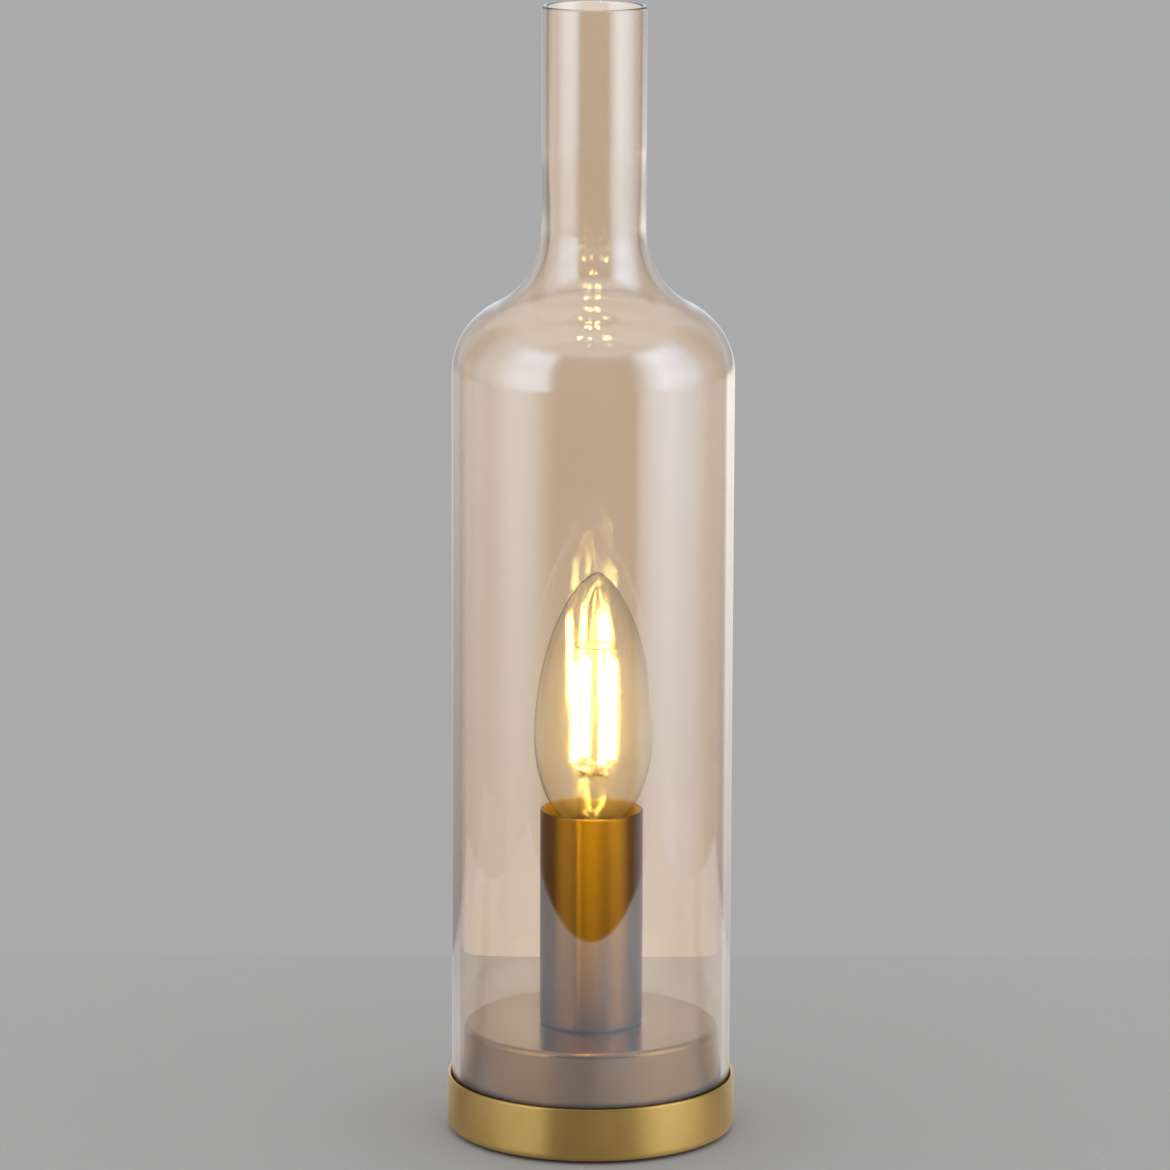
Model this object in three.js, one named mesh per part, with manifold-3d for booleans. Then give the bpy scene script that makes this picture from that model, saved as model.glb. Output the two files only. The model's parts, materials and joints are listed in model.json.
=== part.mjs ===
// Bottle table lamp: a brass base ring and plinth, a brass socket sleeve with a screw-in candle bulb,
// and an open glass bottle that drops over them. Millimetres, +Z up, front towards -Y,
// origin at the centre of the rest pad's underside.

import * as THREE from "three";
import { mergeVertices } from "three/addons/utils/BufferGeometryUtils.js";
import Module from "manifold-3d";

const wasm = await Module();
wasm.setup();

// Clearances
const SEAT = 0.1; // between stacked faces that rest on each other
const SLIP = 0.3; // round a piece in the hole or sleeve that holds it
const GLASS_PLAY = 0.35; // round the glass in the groove of the base ring
const PLINTH_PLAY = 0.6; // round the plinth inside the foot of the glass
const BALLAST_PLAY = 0.8; // round the ballast inside the plinth
const HOLDER_PLAY = 0.8; // round the lampholder inside the sleeve

// Facets of round work
const LARGE_SIDES = 40;
const MEDIUM_SIDES = 28;
const SMALL_SIDES = 16;
const WIRE_SIDES = 8;
const HEX_SIDES = 6;
const ARC_STEPS = 6;
const EDGE_STEPS = 3;
const MERGE_TOLERANCE = 1e-4;

// Glass bottle
const GLASS_RADIUS = 41.0;
const GLASS_WALL = 2.2;
const BOTTLE_HEIGHT = 319.1;
const SHOULDER_START = 212.8; // straight body, from the foot to where the shoulder turns in
const SHOULDER_RADIUS = 22.0;
const NECK_FLARE_RADIUS = 24.1;
const NECK_RADIUS = 15.1;
const FOOT_BEVEL = 0.5;
const GASKET_THICKNESS = 1.2;

// Rest pad and bottom cover
const PAD_THICKNESS = 1.6;
const PAD_MARGIN = 1.2; // bare edge of the cover round the pad
const COVER_THICKNESS = 1.5;
const COVER_SCREW_COUNT = 3;
const COVER_SCREW_INSET = 7.5; // screws in from the edge of the ballast
const COVER_SCREW_RADIUS = 1.9;
const COVER_SCREW_GRIP = 8.0; // thread inside the ballast
const COVER_HEAD_RADIUS = 3.4;
const COVER_HEAD_HEIGHT = 1.2;
const PAD_HOLE_MARGIN = 0.6; // round a screw head, for the driver
const SLOT_WIDTH = 0.9;
const SLOT_DEPTH = 0.6;

// Base ring
const RING_LIFT = 0.8; // foot of the ring above the table, because the pad stands proud
const RING_LIP = 1.15; // wall of the lip beside the glass
const RING_SKIRT = 2.5; // wall below the floor
const RING_LIP_RISE = 5.0; // lip above the floor
const RING_FLOOR = 1.4;
const RING_FOOT_ROUND = 2.2;
const CAVITY_HEIGHT = 7.2; // wiring room between the cover and the floor

// Plinth and ballast
const PLINTH_HEIGHT = 20.35;
const PLINTH_TAPER = 0.7;
const PLINTH_WALL = 1.2;
const PLINTH_TOP = 1.4;
const PLINTH_EDGE_ROUND = 1.6;
const BALLAST_HEIGHT = 12.0;

// Socket sleeve and the threaded nipple that clamps it
const SLEEVE_RADIUS = 15.1;
const SLEEVE_WALL = 0.9;
const SLEEVE_FLOOR = 1.2;
const SLEEVE_HEIGHT = 64.25;
const SLEEVE_FOOT_ROUND = 1.2;
const NIPPLE_RADIUS = 5.0;
const NIPPLE_BORE = 3.5;
const NIPPLE_TAIL = 0.4; // nipple past the lower nut
const NUT_FLATS = 14.0;
const BASE_NUT_HEIGHT = 2.4;
const SLEEVE_NUT_HEIGHT = 2.8;
const WASHER_RADIUS = 8.5;
const WASHER_THICKNESS = 0.8;

// Lampholder
const HOLDER_STANDOFF = 3.6; // free nipple between the nut and the holder
const HOLDER_GRIP = 7.0; // nipple thread inside the holder's cap
const HOLDER_ROOM = 5.0; // terminal room above the grip
const HOLDER_WALL = 1.5;
const HOLDER_FLOOR = 12.0;
const HOLDER_SCREW_CIRCLE = 6.0;
const HOLDER_SCREW_RADIUS = 1.2;
const HOLDER_HEAD_RADIUS = 2.3;
const HOLDER_HEAD_HEIGHT = 2.0;
const SHELL_WALL = 0.6;
const SHELL_LENGTH = 15.5;
const SHELL_FLANGE_WIDTH = 1.4;
const SHELL_FLANGE = 0.8;
const TONGUE_WIDTH = 4.0;
const TONGUE_THICKNESS = 0.5;
const TONGUE_RISE = 4.95; // crest of the tongue above the holder's floor
const RIVET_RADIUS = 1.3;
const RIVET_HEIGHT = 1.0;
const STRIP_THICKNESS = 0.5;
const STRIP_WIDTH = 4.0;
const STRIP_FOOT = 3.2;

// Screw cap and knuckle thread of the bulb
const THREAD_PITCH = 2.822;
const THREAD_CREST = 6.9;
const THREAD_DEPTH = 0.75;
const THREAD_TURNS = 5;
const THREAD_STEPS = 6; // rings of facets on each turn
const THREAD_SIDES = 18;
const THREAD_PLAY = 0.3;
const THREAD_LEAD_IN = 1.0; // shell below the start of the cap's thread
const CAP_BORE = 5.5;
const CAP_WALL = 0.5;
const CAP_SKIRT = 2.1;
const CAP_FLARE = 1.1;
const CAP_TIP_LENGTH = 4.0; // contact and insulator below the thread
const CONTACT_RADIUS = 3.2;
const CONTACT_HEIGHT = 1.6;
const INSULATOR_TIP_RADIUS = 3.8;
const INSULATOR_OVERLAP = 1.2; // insulator inside the thread shell of the cap
const DRIVER_THICKNESS = 1.2;
const DRIVER_LENGTH = 13.0;

// Bulb envelope and filaments
const BULB_RADIUS = 17.5;
const BULB_CROWN = 48.0; // widest plane to the tip
const BULB_BELLY = 30.0; // half height of the ellipse below the widest plane
const BULB_WALL = 0.8;
const BULB_NECK_RADIUS = 7.9;
const BULB_CROWN_POWER = 0.66; // how full the flame-shaped crown is
const BULB_LEAN = THREE.MathUtils.degToRad(1.0); // glass cemented a little crooked on its cap
const BULB_SIDES = 24;
const CROWN_STEPS = 8;
const BELLY_STEPS = 6;
const STEM_RADIUS = 4.2;
const STEM_HEIGHT = 17.5;
const STEM_FLARE = 0.9;
const STEM_ROUND = 2.0;
const FILAMENT_COUNT = 4;
const FILAMENT_CIRCLE = 6.0;
const FILAMENT_TURN = THREE.MathUtils.degToRad(25);
const FILAMENT_RADIUS = 0.9;
const FILAMENT_LENGTH = 29.0;
const FILAMENT_TAIL = 4.6; // bare wire above a filament
const FILAMENT_FOOT = 1.5; // bare wire below a filament
const FILAMENT_LIFT = 3.3; // lower end of the light above the stem
const WIRE_RADIUS = 0.3;
const WIRE_STEPS = 14;
const WIRE_RISE = 2.0; // lead wire's slope from the stem to the filament circle

// Wiring
const BUSH_BORE = 1.9;
const BUSH_RADIUS = 2.8;
const BUSH_FLANGE = 1.3; // flange wider than the bush's body
const BUSH_LOCK = 0.4; // inner rib wider than the bush's body
const BUSH_FLANGE_THICKNESS = 1.5;
const BLOCK_WIDTH = 17.0;
const BLOCK_DEPTH = 10.0;
const BLOCK_SETBACK = 16.0; // middle of the block in from the skirt of the ring
const BLOCK_HEADROOM = 2.0;
const TERMINAL_OFFSET = 4.5;
const TERMINAL_BORE = 1.3;
const TERMINAL_HEIGHT = 2.1;
const TERMINAL_SCREW_RADIUS = 1.0;
const BLOCK_SCREW_RADIUS = 1.2;
const BLOCK_HEAD_RADIUS = 2.4;
const BLOCK_HEAD_HEIGHT = 0.8;
const LEAD_RADIUS = 0.85;
const LEAD_OFFSET = 1.4; // of each lead from the nipple's axis
const LEAD_BEND = 2.6;
const LEAD_STEPS = 30;

// Heights of the stack, from the table up
const coverBottom = PAD_THICKNESS + SEAT;
const coverTop = coverBottom + COVER_THICKNESS;
const floorBottom = coverTop + CAVITY_HEIGHT;
const floorTop = floorBottom + RING_FLOOR;
const lipTop = floorTop + RING_LIP_RISE;
const gasketBottom = floorTop + SEAT;
const glassFoot = gasketBottom + GASKET_THICKNESS + SEAT;
const plinthBottom = floorTop + SEAT;
const plinthTop = plinthBottom + PLINTH_HEIGHT;
const ballastBottom = floorTop + SEAT;
const sleeveBottom = plinthTop + SEAT;
const sleeveFloorTop = sleeveBottom + SLEEVE_FLOOR;
const sleeveTop = sleeveBottom + SLEEVE_HEIGHT;
const washerBottom = floorBottom - SEAT - WASHER_THICKNESS;
const baseNutBottom = washerBottom - SEAT - BASE_NUT_HEIGHT;
const nippleBottom = baseNutBottom - NIPPLE_TAIL;
const sleeveNutBottom = sleeveFloorTop + SEAT;
const holderBottom = sleeveNutBottom + SLEEVE_NUT_HEIGHT + HOLDER_STANDOFF;
const nippleTop = holderBottom + HOLDER_GRIP;
const holderSplit = nippleTop + HOLDER_ROOM;
const bodyBottom = holderSplit + SEAT;
const bodyFloor = bodyBottom + HOLDER_FLOOR;
const bulbSeat = bodyFloor + TONGUE_RISE + SLIP;
const threadBottom = bulbSeat + CAP_TIP_LENGTH;
const threadTop = threadBottom + THREAD_TURNS * THREAD_PITCH;
const shellBottom = threadBottom - THREAD_LEAD_IN;
const flangeBottom = shellBottom + SHELL_LENGTH;
const shellTop = flangeBottom + SHELL_FLANGE;
const bodyTop = flangeBottom - SEAT;
const flareBottom = Math.max(shellTop, threadTop) + SLIP;
const skirtBottom = flareBottom + CAP_FLARE;
const skirtTop = skirtBottom + CAP_SKIRT;
const glassNeckBottom = skirtBottom + SLIP;
const glassNeckTop = skirtTop + SLIP;
const bulbWaist = glassNeckTop + BULB_BELLY * Math.sin(Math.acos(BULB_NECK_RADIUS / BULB_RADIUS));
const stemTop = glassNeckBottom + STEM_HEIGHT;
const filamentBottom = stemTop + FILAMENT_LIFT;
const filamentTop = filamentBottom + FILAMENT_LENGTH;

// Radii that fit each other
const grooveRadius = GLASS_RADIUS + GLASS_PLAY;
const ringRadius = grooveRadius + RING_LIP;
const skirtBore = ringRadius - RING_SKIRT;
const coverRadius = skirtBore - SLIP;
const glassBore = GLASS_RADIUS - GLASS_WALL;
const plinthRadius = glassBore - PLINTH_PLAY;
const plinthTopRadius = plinthRadius - PLINTH_TAPER;
const ballastRadius = plinthTopRadius - PLINTH_WALL - BALLAST_PLAY;
const coverScrewCircle = ballastRadius - COVER_SCREW_INSET;
const nippleHole = NIPPLE_RADIUS + SLIP;
const sleeveBore = SLEEVE_RADIUS - SLEEVE_WALL;
const holderRadius = sleeveBore - HOLDER_PLAY;
const shellBore = THREAD_CREST + THREAD_PLAY;
const shellRadius = shellBore + SHELL_WALL;
const wellRadius = shellRadius + SLIP;
const capSkirtBore = BULB_NECK_RADIUS + SLIP;
const capSkirtRadius = capSkirtBore + CAP_WALL;
const coverScrewHole = COVER_SCREW_RADIUS + SLIP;
const blockOffset = skirtBore - BLOCK_SETBACK;
const blockHeight = CAVITY_HEIGHT - BLOCK_HEADROOM;
const blockBottom = coverTop + SEAT;
const blockTop = blockBottom + blockHeight;
const terminalLevel = blockBottom + TERMINAL_HEIGHT;
const bushLevel = coverTop + CAVITY_HEIGHT / 2;

// Finishes
const SATIN_BRASS = { color: 0xa8853f, roughness: 0.38, metalness: 1.0 };
const BRIGHT_BRASS = { color: 0xc9a45a, roughness: 0.3, metalness: 1.0 };
const NICKEL = { color: 0xb9b6ae, roughness: 0.32, metalness: 1.0 };
const ZINC_STEEL = { color: 0x9a9c9e, roughness: 0.45, metalness: 1.0 };
const IRON = { color: 0x3a3a3c, roughness: 0.75, metalness: 0.6 };
const LUSTRE_GLASS = { color: 0xd9bd96, roughness: 0.05, metalness: 0.0, transparent: true, opacity: 0.4 };
const CLEAR_GLASS = { color: 0xf4f2ea, roughness: 0.03, metalness: 0.0, transparent: true, opacity: 0.25 };
const PHENOLIC = { color: 0x2a211d, roughness: 0.55, metalness: 0.0 };
const NYLON = { color: 0xd8d2c2, roughness: 0.5, metalness: 0.0 };
const RUBBER = { color: 0x202020, roughness: 0.85, metalness: 0.0 };
const FELT = { color: 0x24211f, roughness: 0.95, metalness: 0.0 };
const LIVE_INSULATION = { color: 0x6b4226, roughness: 0.5, metalness: 0.0 };
const NEUTRAL_INSULATION = { color: 0x2f5c9c, roughness: 0.5, metalness: 0.0 };
const BOARD = { color: 0xe6e2d6, roughness: 0.6, metalness: 0.0 };
const LIT_PHOSPHOR = { color: 0xffd98a, roughness: 0.6, metalness: 0.0, emissive: 0xffc766 };

// Helpers: closed skins, turned work, plates, tubes and cuts

function signedVolume(geometry) {
  const spots = geometry.attributes.position;
  const corners = geometry.index.array;
  const [a, b, c] = [new THREE.Vector3(), new THREE.Vector3(), new THREE.Vector3()];
  let volume = 0;
  for (let i = 0; i < corners.length; i += 3) {
    a.fromBufferAttribute(spots, corners[i]);
    b.fromBufferAttribute(spots, corners[i + 1]);
    c.fromBufferAttribute(spots, corners[i + 2]);
    volume += a.dot(b.cross(c)) / 6;
  }
  return volume;
}

// Joins shared corners, drops the flat triangles at a pole and turns the faces outwards.
function closedSkin(geometry) {
  geometry.deleteAttribute("normal");
  geometry.deleteAttribute("uv");
  const skin = mergeVertices(geometry, MERGE_TOLERANCE);
  const corners = Array.from(skin.index.array);
  const kept = [];
  for (let i = 0; i < corners.length; i += 3) {
    const triangle = corners.slice(i, i + 3);
    if (new Set(triangle).size === 3) kept.push(...triangle);
  }
  skin.setIndex(kept);
  if (signedVolume(skin) < 0) skin.setIndex(kept.reverse());
  skin.computeVertexNormals();
  return skin;
}

// Points on an arc in the radius-height plane, from one angle to another in degrees.
function arc(radius, height, bend, from, to, steps) {
  const points = [];
  for (let i = 0; i <= steps; i += 1) {
    const angle = THREE.MathUtils.degToRad(from + ((to - from) * i) / steps);
    points.push([radius + bend * Math.cos(angle), height + bend * Math.sin(angle)]);
  }
  return points;
}

// Turns an outline of [radius, height] points about the Z axis.
function turned(outline, sides) {
  const points = outline.map(([radius, height]) => new THREE.Vector2(radius, height));
  const endsOnAxis = outline[0][0] === 0 && outline[outline.length - 1][0] === 0;
  if (!endsOnAxis) points.push(points[0].clone());
  const geometry = new THREE.LatheGeometry(points, sides);
  geometry.rotateX(Math.PI / 2);
  return closedSkin(geometry);
}

function ringOfPoints(radius, sides, x = 0, y = 0) {
  const points = [];
  for (let i = 0; i < sides; i += 1) {
    const angle = (2 * Math.PI * i) / sides;
    points.push(new THREE.Vector2(x + radius * Math.cos(angle), y + radius * Math.sin(angle)));
  }
  return points;
}

// A flat plate with holes, standing on z = 0.
function plate(outline, holes, thickness) {
  const shape = new THREE.Shape(outline);
  holes.forEach((hole) => shape.holes.push(new THREE.Path(hole)));
  return closedSkin(new THREE.ExtrudeGeometry(shape, { depth: thickness, bevelEnabled: false }));
}

// A bent metal strip: its edge outline is drawn in the Y-Z plane and given a width along X.
function bentStrip(edge, width) {
  const shape = new THREE.Shape(edge.map(([y, z]) => new THREE.Vector2(y, z)));
  const geometry = new THREE.ExtrudeGeometry(shape, { depth: width, bevelEnabled: false });
  geometry.translate(0, 0, -width / 2);
  const toYZ = new THREE.Matrix4().makeBasis(
    new THREE.Vector3(0, 1, 0),
    new THREE.Vector3(0, 0, 1),
    new THREE.Vector3(1, 0, 0),
  );
  return closedSkin(geometry.applyMatrix4(toYZ));
}

// A round wire that follows a curve.
function wire(curve, radius, sides, steps) {
  const section = new THREE.Shape(ringOfPoints(radius, sides));
  return closedSkin(new THREE.ExtrudeGeometry(section, { steps, extrudePath: curve }));
}

// A tube between two stacks of rings. A ring is a height and a radius that may change with the angle.
function ringedTube(outer, inner, sides) {
  const spots = [];
  const faces = [];
  const addRings = (rings) =>
    rings.map(({ height, radius }) => {
      const first = spots.length / 3;
      for (let i = 0; i < sides; i += 1) {
        const angle = (2 * Math.PI * i) / sides;
        spots.push(radius(angle) * Math.cos(angle), radius(angle) * Math.sin(angle), height);
      }
      return first;
    });
  const bridge = (low, high) => {
    for (let i = 0; i < sides; i += 1) {
      const next = (i + 1) % sides;
      faces.push(low + i, low + next, high + next, low + i, high + next, high + i);
    }
  };
  const loop = [...addRings(outer), ...addRings(inner).reverse()];
  loop.forEach((ring, i) => bridge(ring, loop[(i + 1) % loop.length]));
  const geometry = new THREE.BufferGeometry();
  geometry.setAttribute("position", new THREE.Float32BufferAttribute(spots, 3));
  geometry.setIndex(faces);
  return closedSkin(geometry);
}

function solidOf(geometry) {
  const skin = closedSkin(geometry.clone());
  const vertProperties = new Float32Array(skin.attributes.position.array);
  const triVerts = new Uint32Array(skin.index.array);
  return new wasm.Manifold(new wasm.Mesh({ numProp: 3, vertProperties, triVerts }));
}

function geometryOf(solid) {
  const { vertProperties, triVerts } = solid.getMesh();
  const geometry = new THREE.BufferGeometry();
  geometry.setAttribute("position", new THREE.BufferAttribute(vertProperties, 3));
  geometry.setIndex(new THREE.BufferAttribute(triVerts, 1));
  return closedSkin(geometry);
}

function cut(geometry, tools) {
  const start = solidOf(geometry);
  return geometryOf(tools.reduce((solid, tool) => solid.subtract(solidOf(tool)), start));
}

// A drill of a given radius through a span of heights.
function drillUp(radius, x, y, from, to) {
  const drill = new THREE.CylinderGeometry(radius, radius, to - from, SMALL_SIDES);
  return drill.rotateX(Math.PI / 2).translate(x, y, (from + to) / 2);
}

// A drill along Y at a given side offset and height.
function drillBack(radius, x, z, from, to) {
  const drill = new THREE.CylinderGeometry(radius, radius, to - from, SMALL_SIDES);
  return drill.translate(x, (from + to) / 2, z);
}

function addPiece(parent, name, geometry, finish, height = 0) {
  const piece = new THREE.Mesh(geometry, new THREE.MeshStandardMaterial(finish));
  piece.name = name;
  piece.position.z = height;
  parent.add(piece);
  return piece;
}

// A screw on the Z axis: head at the bottom, shank upwards, with a slot in the head.
function slottedScrew(headRadius, headHeight, shankRadius, length) {
  const outline = [
    [0, 0],
    [headRadius, 0],
    [headRadius, headHeight],
    [shankRadius, headHeight],
    [shankRadius, headHeight + length],
    [0, headHeight + length],
  ];
  const slotLength = (headRadius + SLIP) * 2;
  const slot = new THREE.BoxGeometry(slotLength, SLOT_WIDTH, SLOT_DEPTH * 2); // half of it is in the head
  return cut(turned(outline, SMALL_SIDES), [slot]);
}

const coverScrewSpots = [];
for (let i = 0; i < COVER_SCREW_COUNT; i += 1) {
  const angle = (2 * Math.PI * i) / COVER_SCREW_COUNT - Math.PI / 2;
  coverScrewSpots.push([coverScrewCircle * Math.cos(angle), coverScrewCircle * Math.sin(angle)]);
}
const coverScrewHoles = (radius) => coverScrewSpots.map(([x, y]) => ringOfPoints(radius, SMALL_SIDES, x, y));

// Base: pad, cover, ring, bush, plinth, ballast and gasket

function restPad() {
  const holes = coverScrewHoles(COVER_HEAD_RADIUS + PAD_HOLE_MARGIN);
  return plate(ringOfPoints(coverRadius - PAD_MARGIN, LARGE_SIDES), holes, PAD_THICKNESS);
}

function bottomPlate() {
  const holes = coverScrewHoles(coverScrewHole);
  holes.push(ringOfPoints(BLOCK_SCREW_RADIUS + SLIP, SMALL_SIDES, 0, blockOffset));
  return plate(ringOfPoints(coverRadius, LARGE_SIDES), holes, COVER_THICKNESS);
}

function baseRing() {
  const lipRound = RING_LIP / 2;
  const outline = [
    [skirtBore, RING_LIFT],
    ...arc(ringRadius - RING_FOOT_ROUND, RING_LIFT + RING_FOOT_ROUND, RING_FOOT_ROUND, -90, 0, EDGE_STEPS),
    ...arc(ringRadius - lipRound, lipTop - lipRound, lipRound, 0, 180, EDGE_STEPS),
    [grooveRadius, floorTop],
    [nippleHole, floorTop],
    [nippleHole, floorBottom],
    [skirtBore, floorBottom],
  ];
  const drills = coverScrewSpots.map(([x, y]) => drillUp(coverScrewHole, x, y, coverTop, ballastBottom));
  drills.push(drillBack(BUSH_RADIUS + SLIP, 0, bushLevel, skirtBore - RING_SKIRT, ringRadius + RING_SKIRT));
  return cut(turned(outline, LARGE_SIDES), drills);
}

// The bush lies along +Y: rib inside the skirt, body through it and flange outside.
function cordBush() {
  const ribRadius = BUSH_RADIUS + BUSH_LOCK;
  const ribOuter = Math.sqrt(skirtBore ** 2 - ribRadius ** 2) - SLIP;
  const flangeInner = ringRadius + SEAT;
  const flangeRadius = BUSH_RADIUS + BUSH_FLANGE;
  const outline = [
    [BUSH_BORE, ribOuter - BUSH_FLANGE_THICKNESS],
    [ribRadius, ribOuter - BUSH_FLANGE_THICKNESS],
    [ribRadius, ribOuter],
    [BUSH_RADIUS, ribOuter],
    [BUSH_RADIUS, flangeInner],
    [flangeRadius, flangeInner],
    [flangeRadius, flangeInner + BUSH_FLANGE_THICKNESS / 2],
    [flangeRadius - BUSH_FLANGE_THICKNESS / 2, flangeInner + BUSH_FLANGE_THICKNESS],
    [BUSH_BORE, flangeInner + BUSH_FLANGE_THICKNESS],
  ];
  return turned(outline, SMALL_SIDES).rotateX(-Math.PI / 2);
}

function plinth() {
  const innerTop = plinthTopRadius - PLINTH_WALL;
  const edge = PLINTH_EDGE_ROUND;
  const innerRound = Math.max(edge - PLINTH_WALL, 0);
  const outline = [
    [plinthRadius, plinthBottom],
    ...arc(plinthTopRadius - edge, plinthTop - edge, edge, 0, 90, EDGE_STEPS + 1),
    [nippleHole, plinthTop],
    [nippleHole, plinthTop - PLINTH_TOP],
    [innerTop - innerRound, plinthTop - PLINTH_TOP],
    [innerTop, plinthTop - PLINTH_TOP - innerRound],
    [plinthRadius - PLINTH_WALL, plinthBottom],
  ];
  return turned(outline, LARGE_SIDES);
}

function ballastWeight() {
  const holes = coverScrewHoles(coverScrewHole);
  holes.push(ringOfPoints(nippleHole, SMALL_SIDES));
  return plate(ringOfPoints(ballastRadius, LARGE_SIDES), holes, BALLAST_HEIGHT);
}

function glassGasket() {
  const inner = plinthRadius + SLIP;
  const outer = grooveRadius - SLIP;
  return turned([[inner, 0], [outer, 0], [outer, GASKET_THICKNESS], [inner, GASKET_THICKNESS]], LARGE_SIDES);
}

function makeBase(lamp) {
  addPiece(lamp, "rest_pad", restPad(), FELT);
  addPiece(lamp, "bottom_plate", bottomPlate(), ZINC_STEEL, coverBottom);
  const screwLength = ballastBottom + COVER_SCREW_GRIP - coverBottom;
  coverScrewSpots.forEach(([x, y], i) => {
    const screw = slottedScrew(COVER_HEAD_RADIUS, COVER_HEAD_HEIGHT, COVER_SCREW_RADIUS, screwLength);
    const headBottom = coverBottom - SEAT - COVER_HEAD_HEIGHT;
    addPiece(lamp, `cover_screw_${i + 1}`, screw, ZINC_STEEL, headBottom).position.set(x, y, headBottom);
  });
  addPiece(lamp, "base_ring", baseRing(), SATIN_BRASS);
  addPiece(lamp, "cord_bush", cordBush(), RUBBER, bushLevel);
  addPiece(lamp, "pedestal", plinth(), SATIN_BRASS);
  addPiece(lamp, "ballast_weight", ballastWeight(), IRON, ballastBottom);
  addPiece(lamp, "glass_gasket", glassGasket(), RUBBER, gasketBottom);
}

// Wiring in the base: terminal block, its screws and the two leads up the nipple

function terminalBlock() {
  const block = new THREE.BoxGeometry(BLOCK_WIDTH, BLOCK_DEPTH, blockHeight);
  block.translate(0, blockOffset, blockBottom + blockHeight / 2);
  const [front, back] = [blockOffset - BLOCK_DEPTH, blockOffset + BLOCK_DEPTH];
  const drills = [drillUp(BLOCK_SCREW_RADIUS + SLIP, 0, blockOffset, coverTop - SLIP, blockTop + SLIP)];
  [-TERMINAL_OFFSET, TERMINAL_OFFSET].forEach((x) => {
    drills.push(drillBack(TERMINAL_BORE, x, terminalLevel, front, back));
    drills.push(drillUp(TERMINAL_SCREW_RADIUS + SLIP, x, blockOffset, terminalLevel, blockTop + SLIP));
  });
  return cut(block, drills);
}

// One lead: out of the terminal, to the axis, up the nipple and over to its screw in the holder.
function innerLead(side) {
  const start = blockOffset - BLOCK_DEPTH / 2;
  const screwSide = side * (HOLDER_SCREW_CIRCLE - HOLDER_HEAD_RADIUS);
  const end = nippleTop + HOLDER_ROOM - HOLDER_HEAD_HEIGHT - LEAD_RADIUS - SLIP;
  const x = side * LEAD_OFFSET;
  const route = [
    [side * TERMINAL_OFFSET, start + LEAD_BEND, terminalLevel],
    [side * TERMINAL_OFFSET, start - LEAD_BEND, terminalLevel],
    [x, LEAD_BEND * 2, terminalLevel],
    [x, LEAD_BEND / 2, terminalLevel + LEAD_RADIUS / 4],
    [x, 0, terminalLevel + LEAD_BEND],
    [x, 0, (terminalLevel + nippleTop) / 2],
    [x, 0, nippleTop - LEAD_BEND],
    [x, screwSide / 4, nippleTop],
    [x / 2, screwSide, end],
  ];
  const spots = route.map((spot) => new THREE.Vector3(...spot));
  const curve = new THREE.CatmullRomCurve3(spots, false, "centripetal");
  return wire(curve, LEAD_RADIUS, WIRE_SIDES, LEAD_STEPS);
}

function makeWiring(lamp) {
  addPiece(lamp, "terminal_block", terminalBlock(), NYLON);
  const screwBottom = terminalLevel + LEAD_RADIUS + SLIP;
  const grubLength = blockTop - SLIP - screwBottom;
  const grub = [[0, 0], [TERMINAL_SCREW_RADIUS, 0], [TERMINAL_SCREW_RADIUS, grubLength], [0, grubLength]];
  const sides = [["live", 1, LIVE_INSULATION], ["neutral", -1, NEUTRAL_INSULATION]];
  sides.forEach(([name, side, insulation]) => {
    const screw = addPiece(lamp, `terminal_screw_${name}`, turned(grub, SMALL_SIDES), NICKEL);
    screw.position.set(side * TERMINAL_OFFSET, blockOffset, screwBottom);
    addPiece(lamp, `${name}_lead`, innerLead(side), insulation);
  });
  const shank = blockTop + SEAT - coverBottom - SLIP;
  const blockScrew = slottedScrew(BLOCK_HEAD_RADIUS, BLOCK_HEAD_HEIGHT, BLOCK_SCREW_RADIUS, shank);
  const fixing = addPiece(lamp, "block_screw", blockScrew, ZINC_STEEL);
  fixing.rotation.x = Math.PI;
  fixing.position.set(0, blockOffset, blockTop + SEAT + BLOCK_HEAD_HEIGHT);
}

// Socket: nipple, nuts, sleeve and lampholder

function hexNut(height) {
  const corner = NUT_FLATS / Math.sqrt(3);
  return plate(ringOfPoints(corner, HEX_SIDES), [ringOfPoints(nippleHole, SMALL_SIDES)], height);
}

function nipple() {
  const outline = [
    [NIPPLE_BORE, nippleBottom],
    [NIPPLE_RADIUS, nippleBottom],
    [NIPPLE_RADIUS, nippleTop],
    [NIPPLE_BORE, nippleTop],
  ];
  return turned(outline, SMALL_SIDES);
}

function socketSleeve() {
  const rim = SLEEVE_WALL / 2;
  const foot = SLEEVE_FOOT_ROUND;
  const outline = [
    [nippleHole, sleeveBottom],
    ...arc(SLEEVE_RADIUS - foot, sleeveBottom + foot, foot, -90, 0, EDGE_STEPS),
    ...arc(SLEEVE_RADIUS - rim, sleeveTop - rim, rim, 0, 180, EDGE_STEPS),
    [sleeveBore, sleeveFloorTop],
    [nippleHole, sleeveFloorTop],
  ];
  return turned(outline, MEDIUM_SIDES);
}

function holderCap() {
  const room = holderRadius - HOLDER_WALL;
  const outline = [
    [nippleHole, holderBottom],
    [holderRadius - HOLDER_WALL, holderBottom],
    [holderRadius, holderBottom + HOLDER_WALL],
    [holderRadius, holderSplit],
    [room, holderSplit],
    [room, nippleTop],
    [nippleHole, nippleTop],
  ];
  return turned(outline, MEDIUM_SIDES);
}

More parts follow.
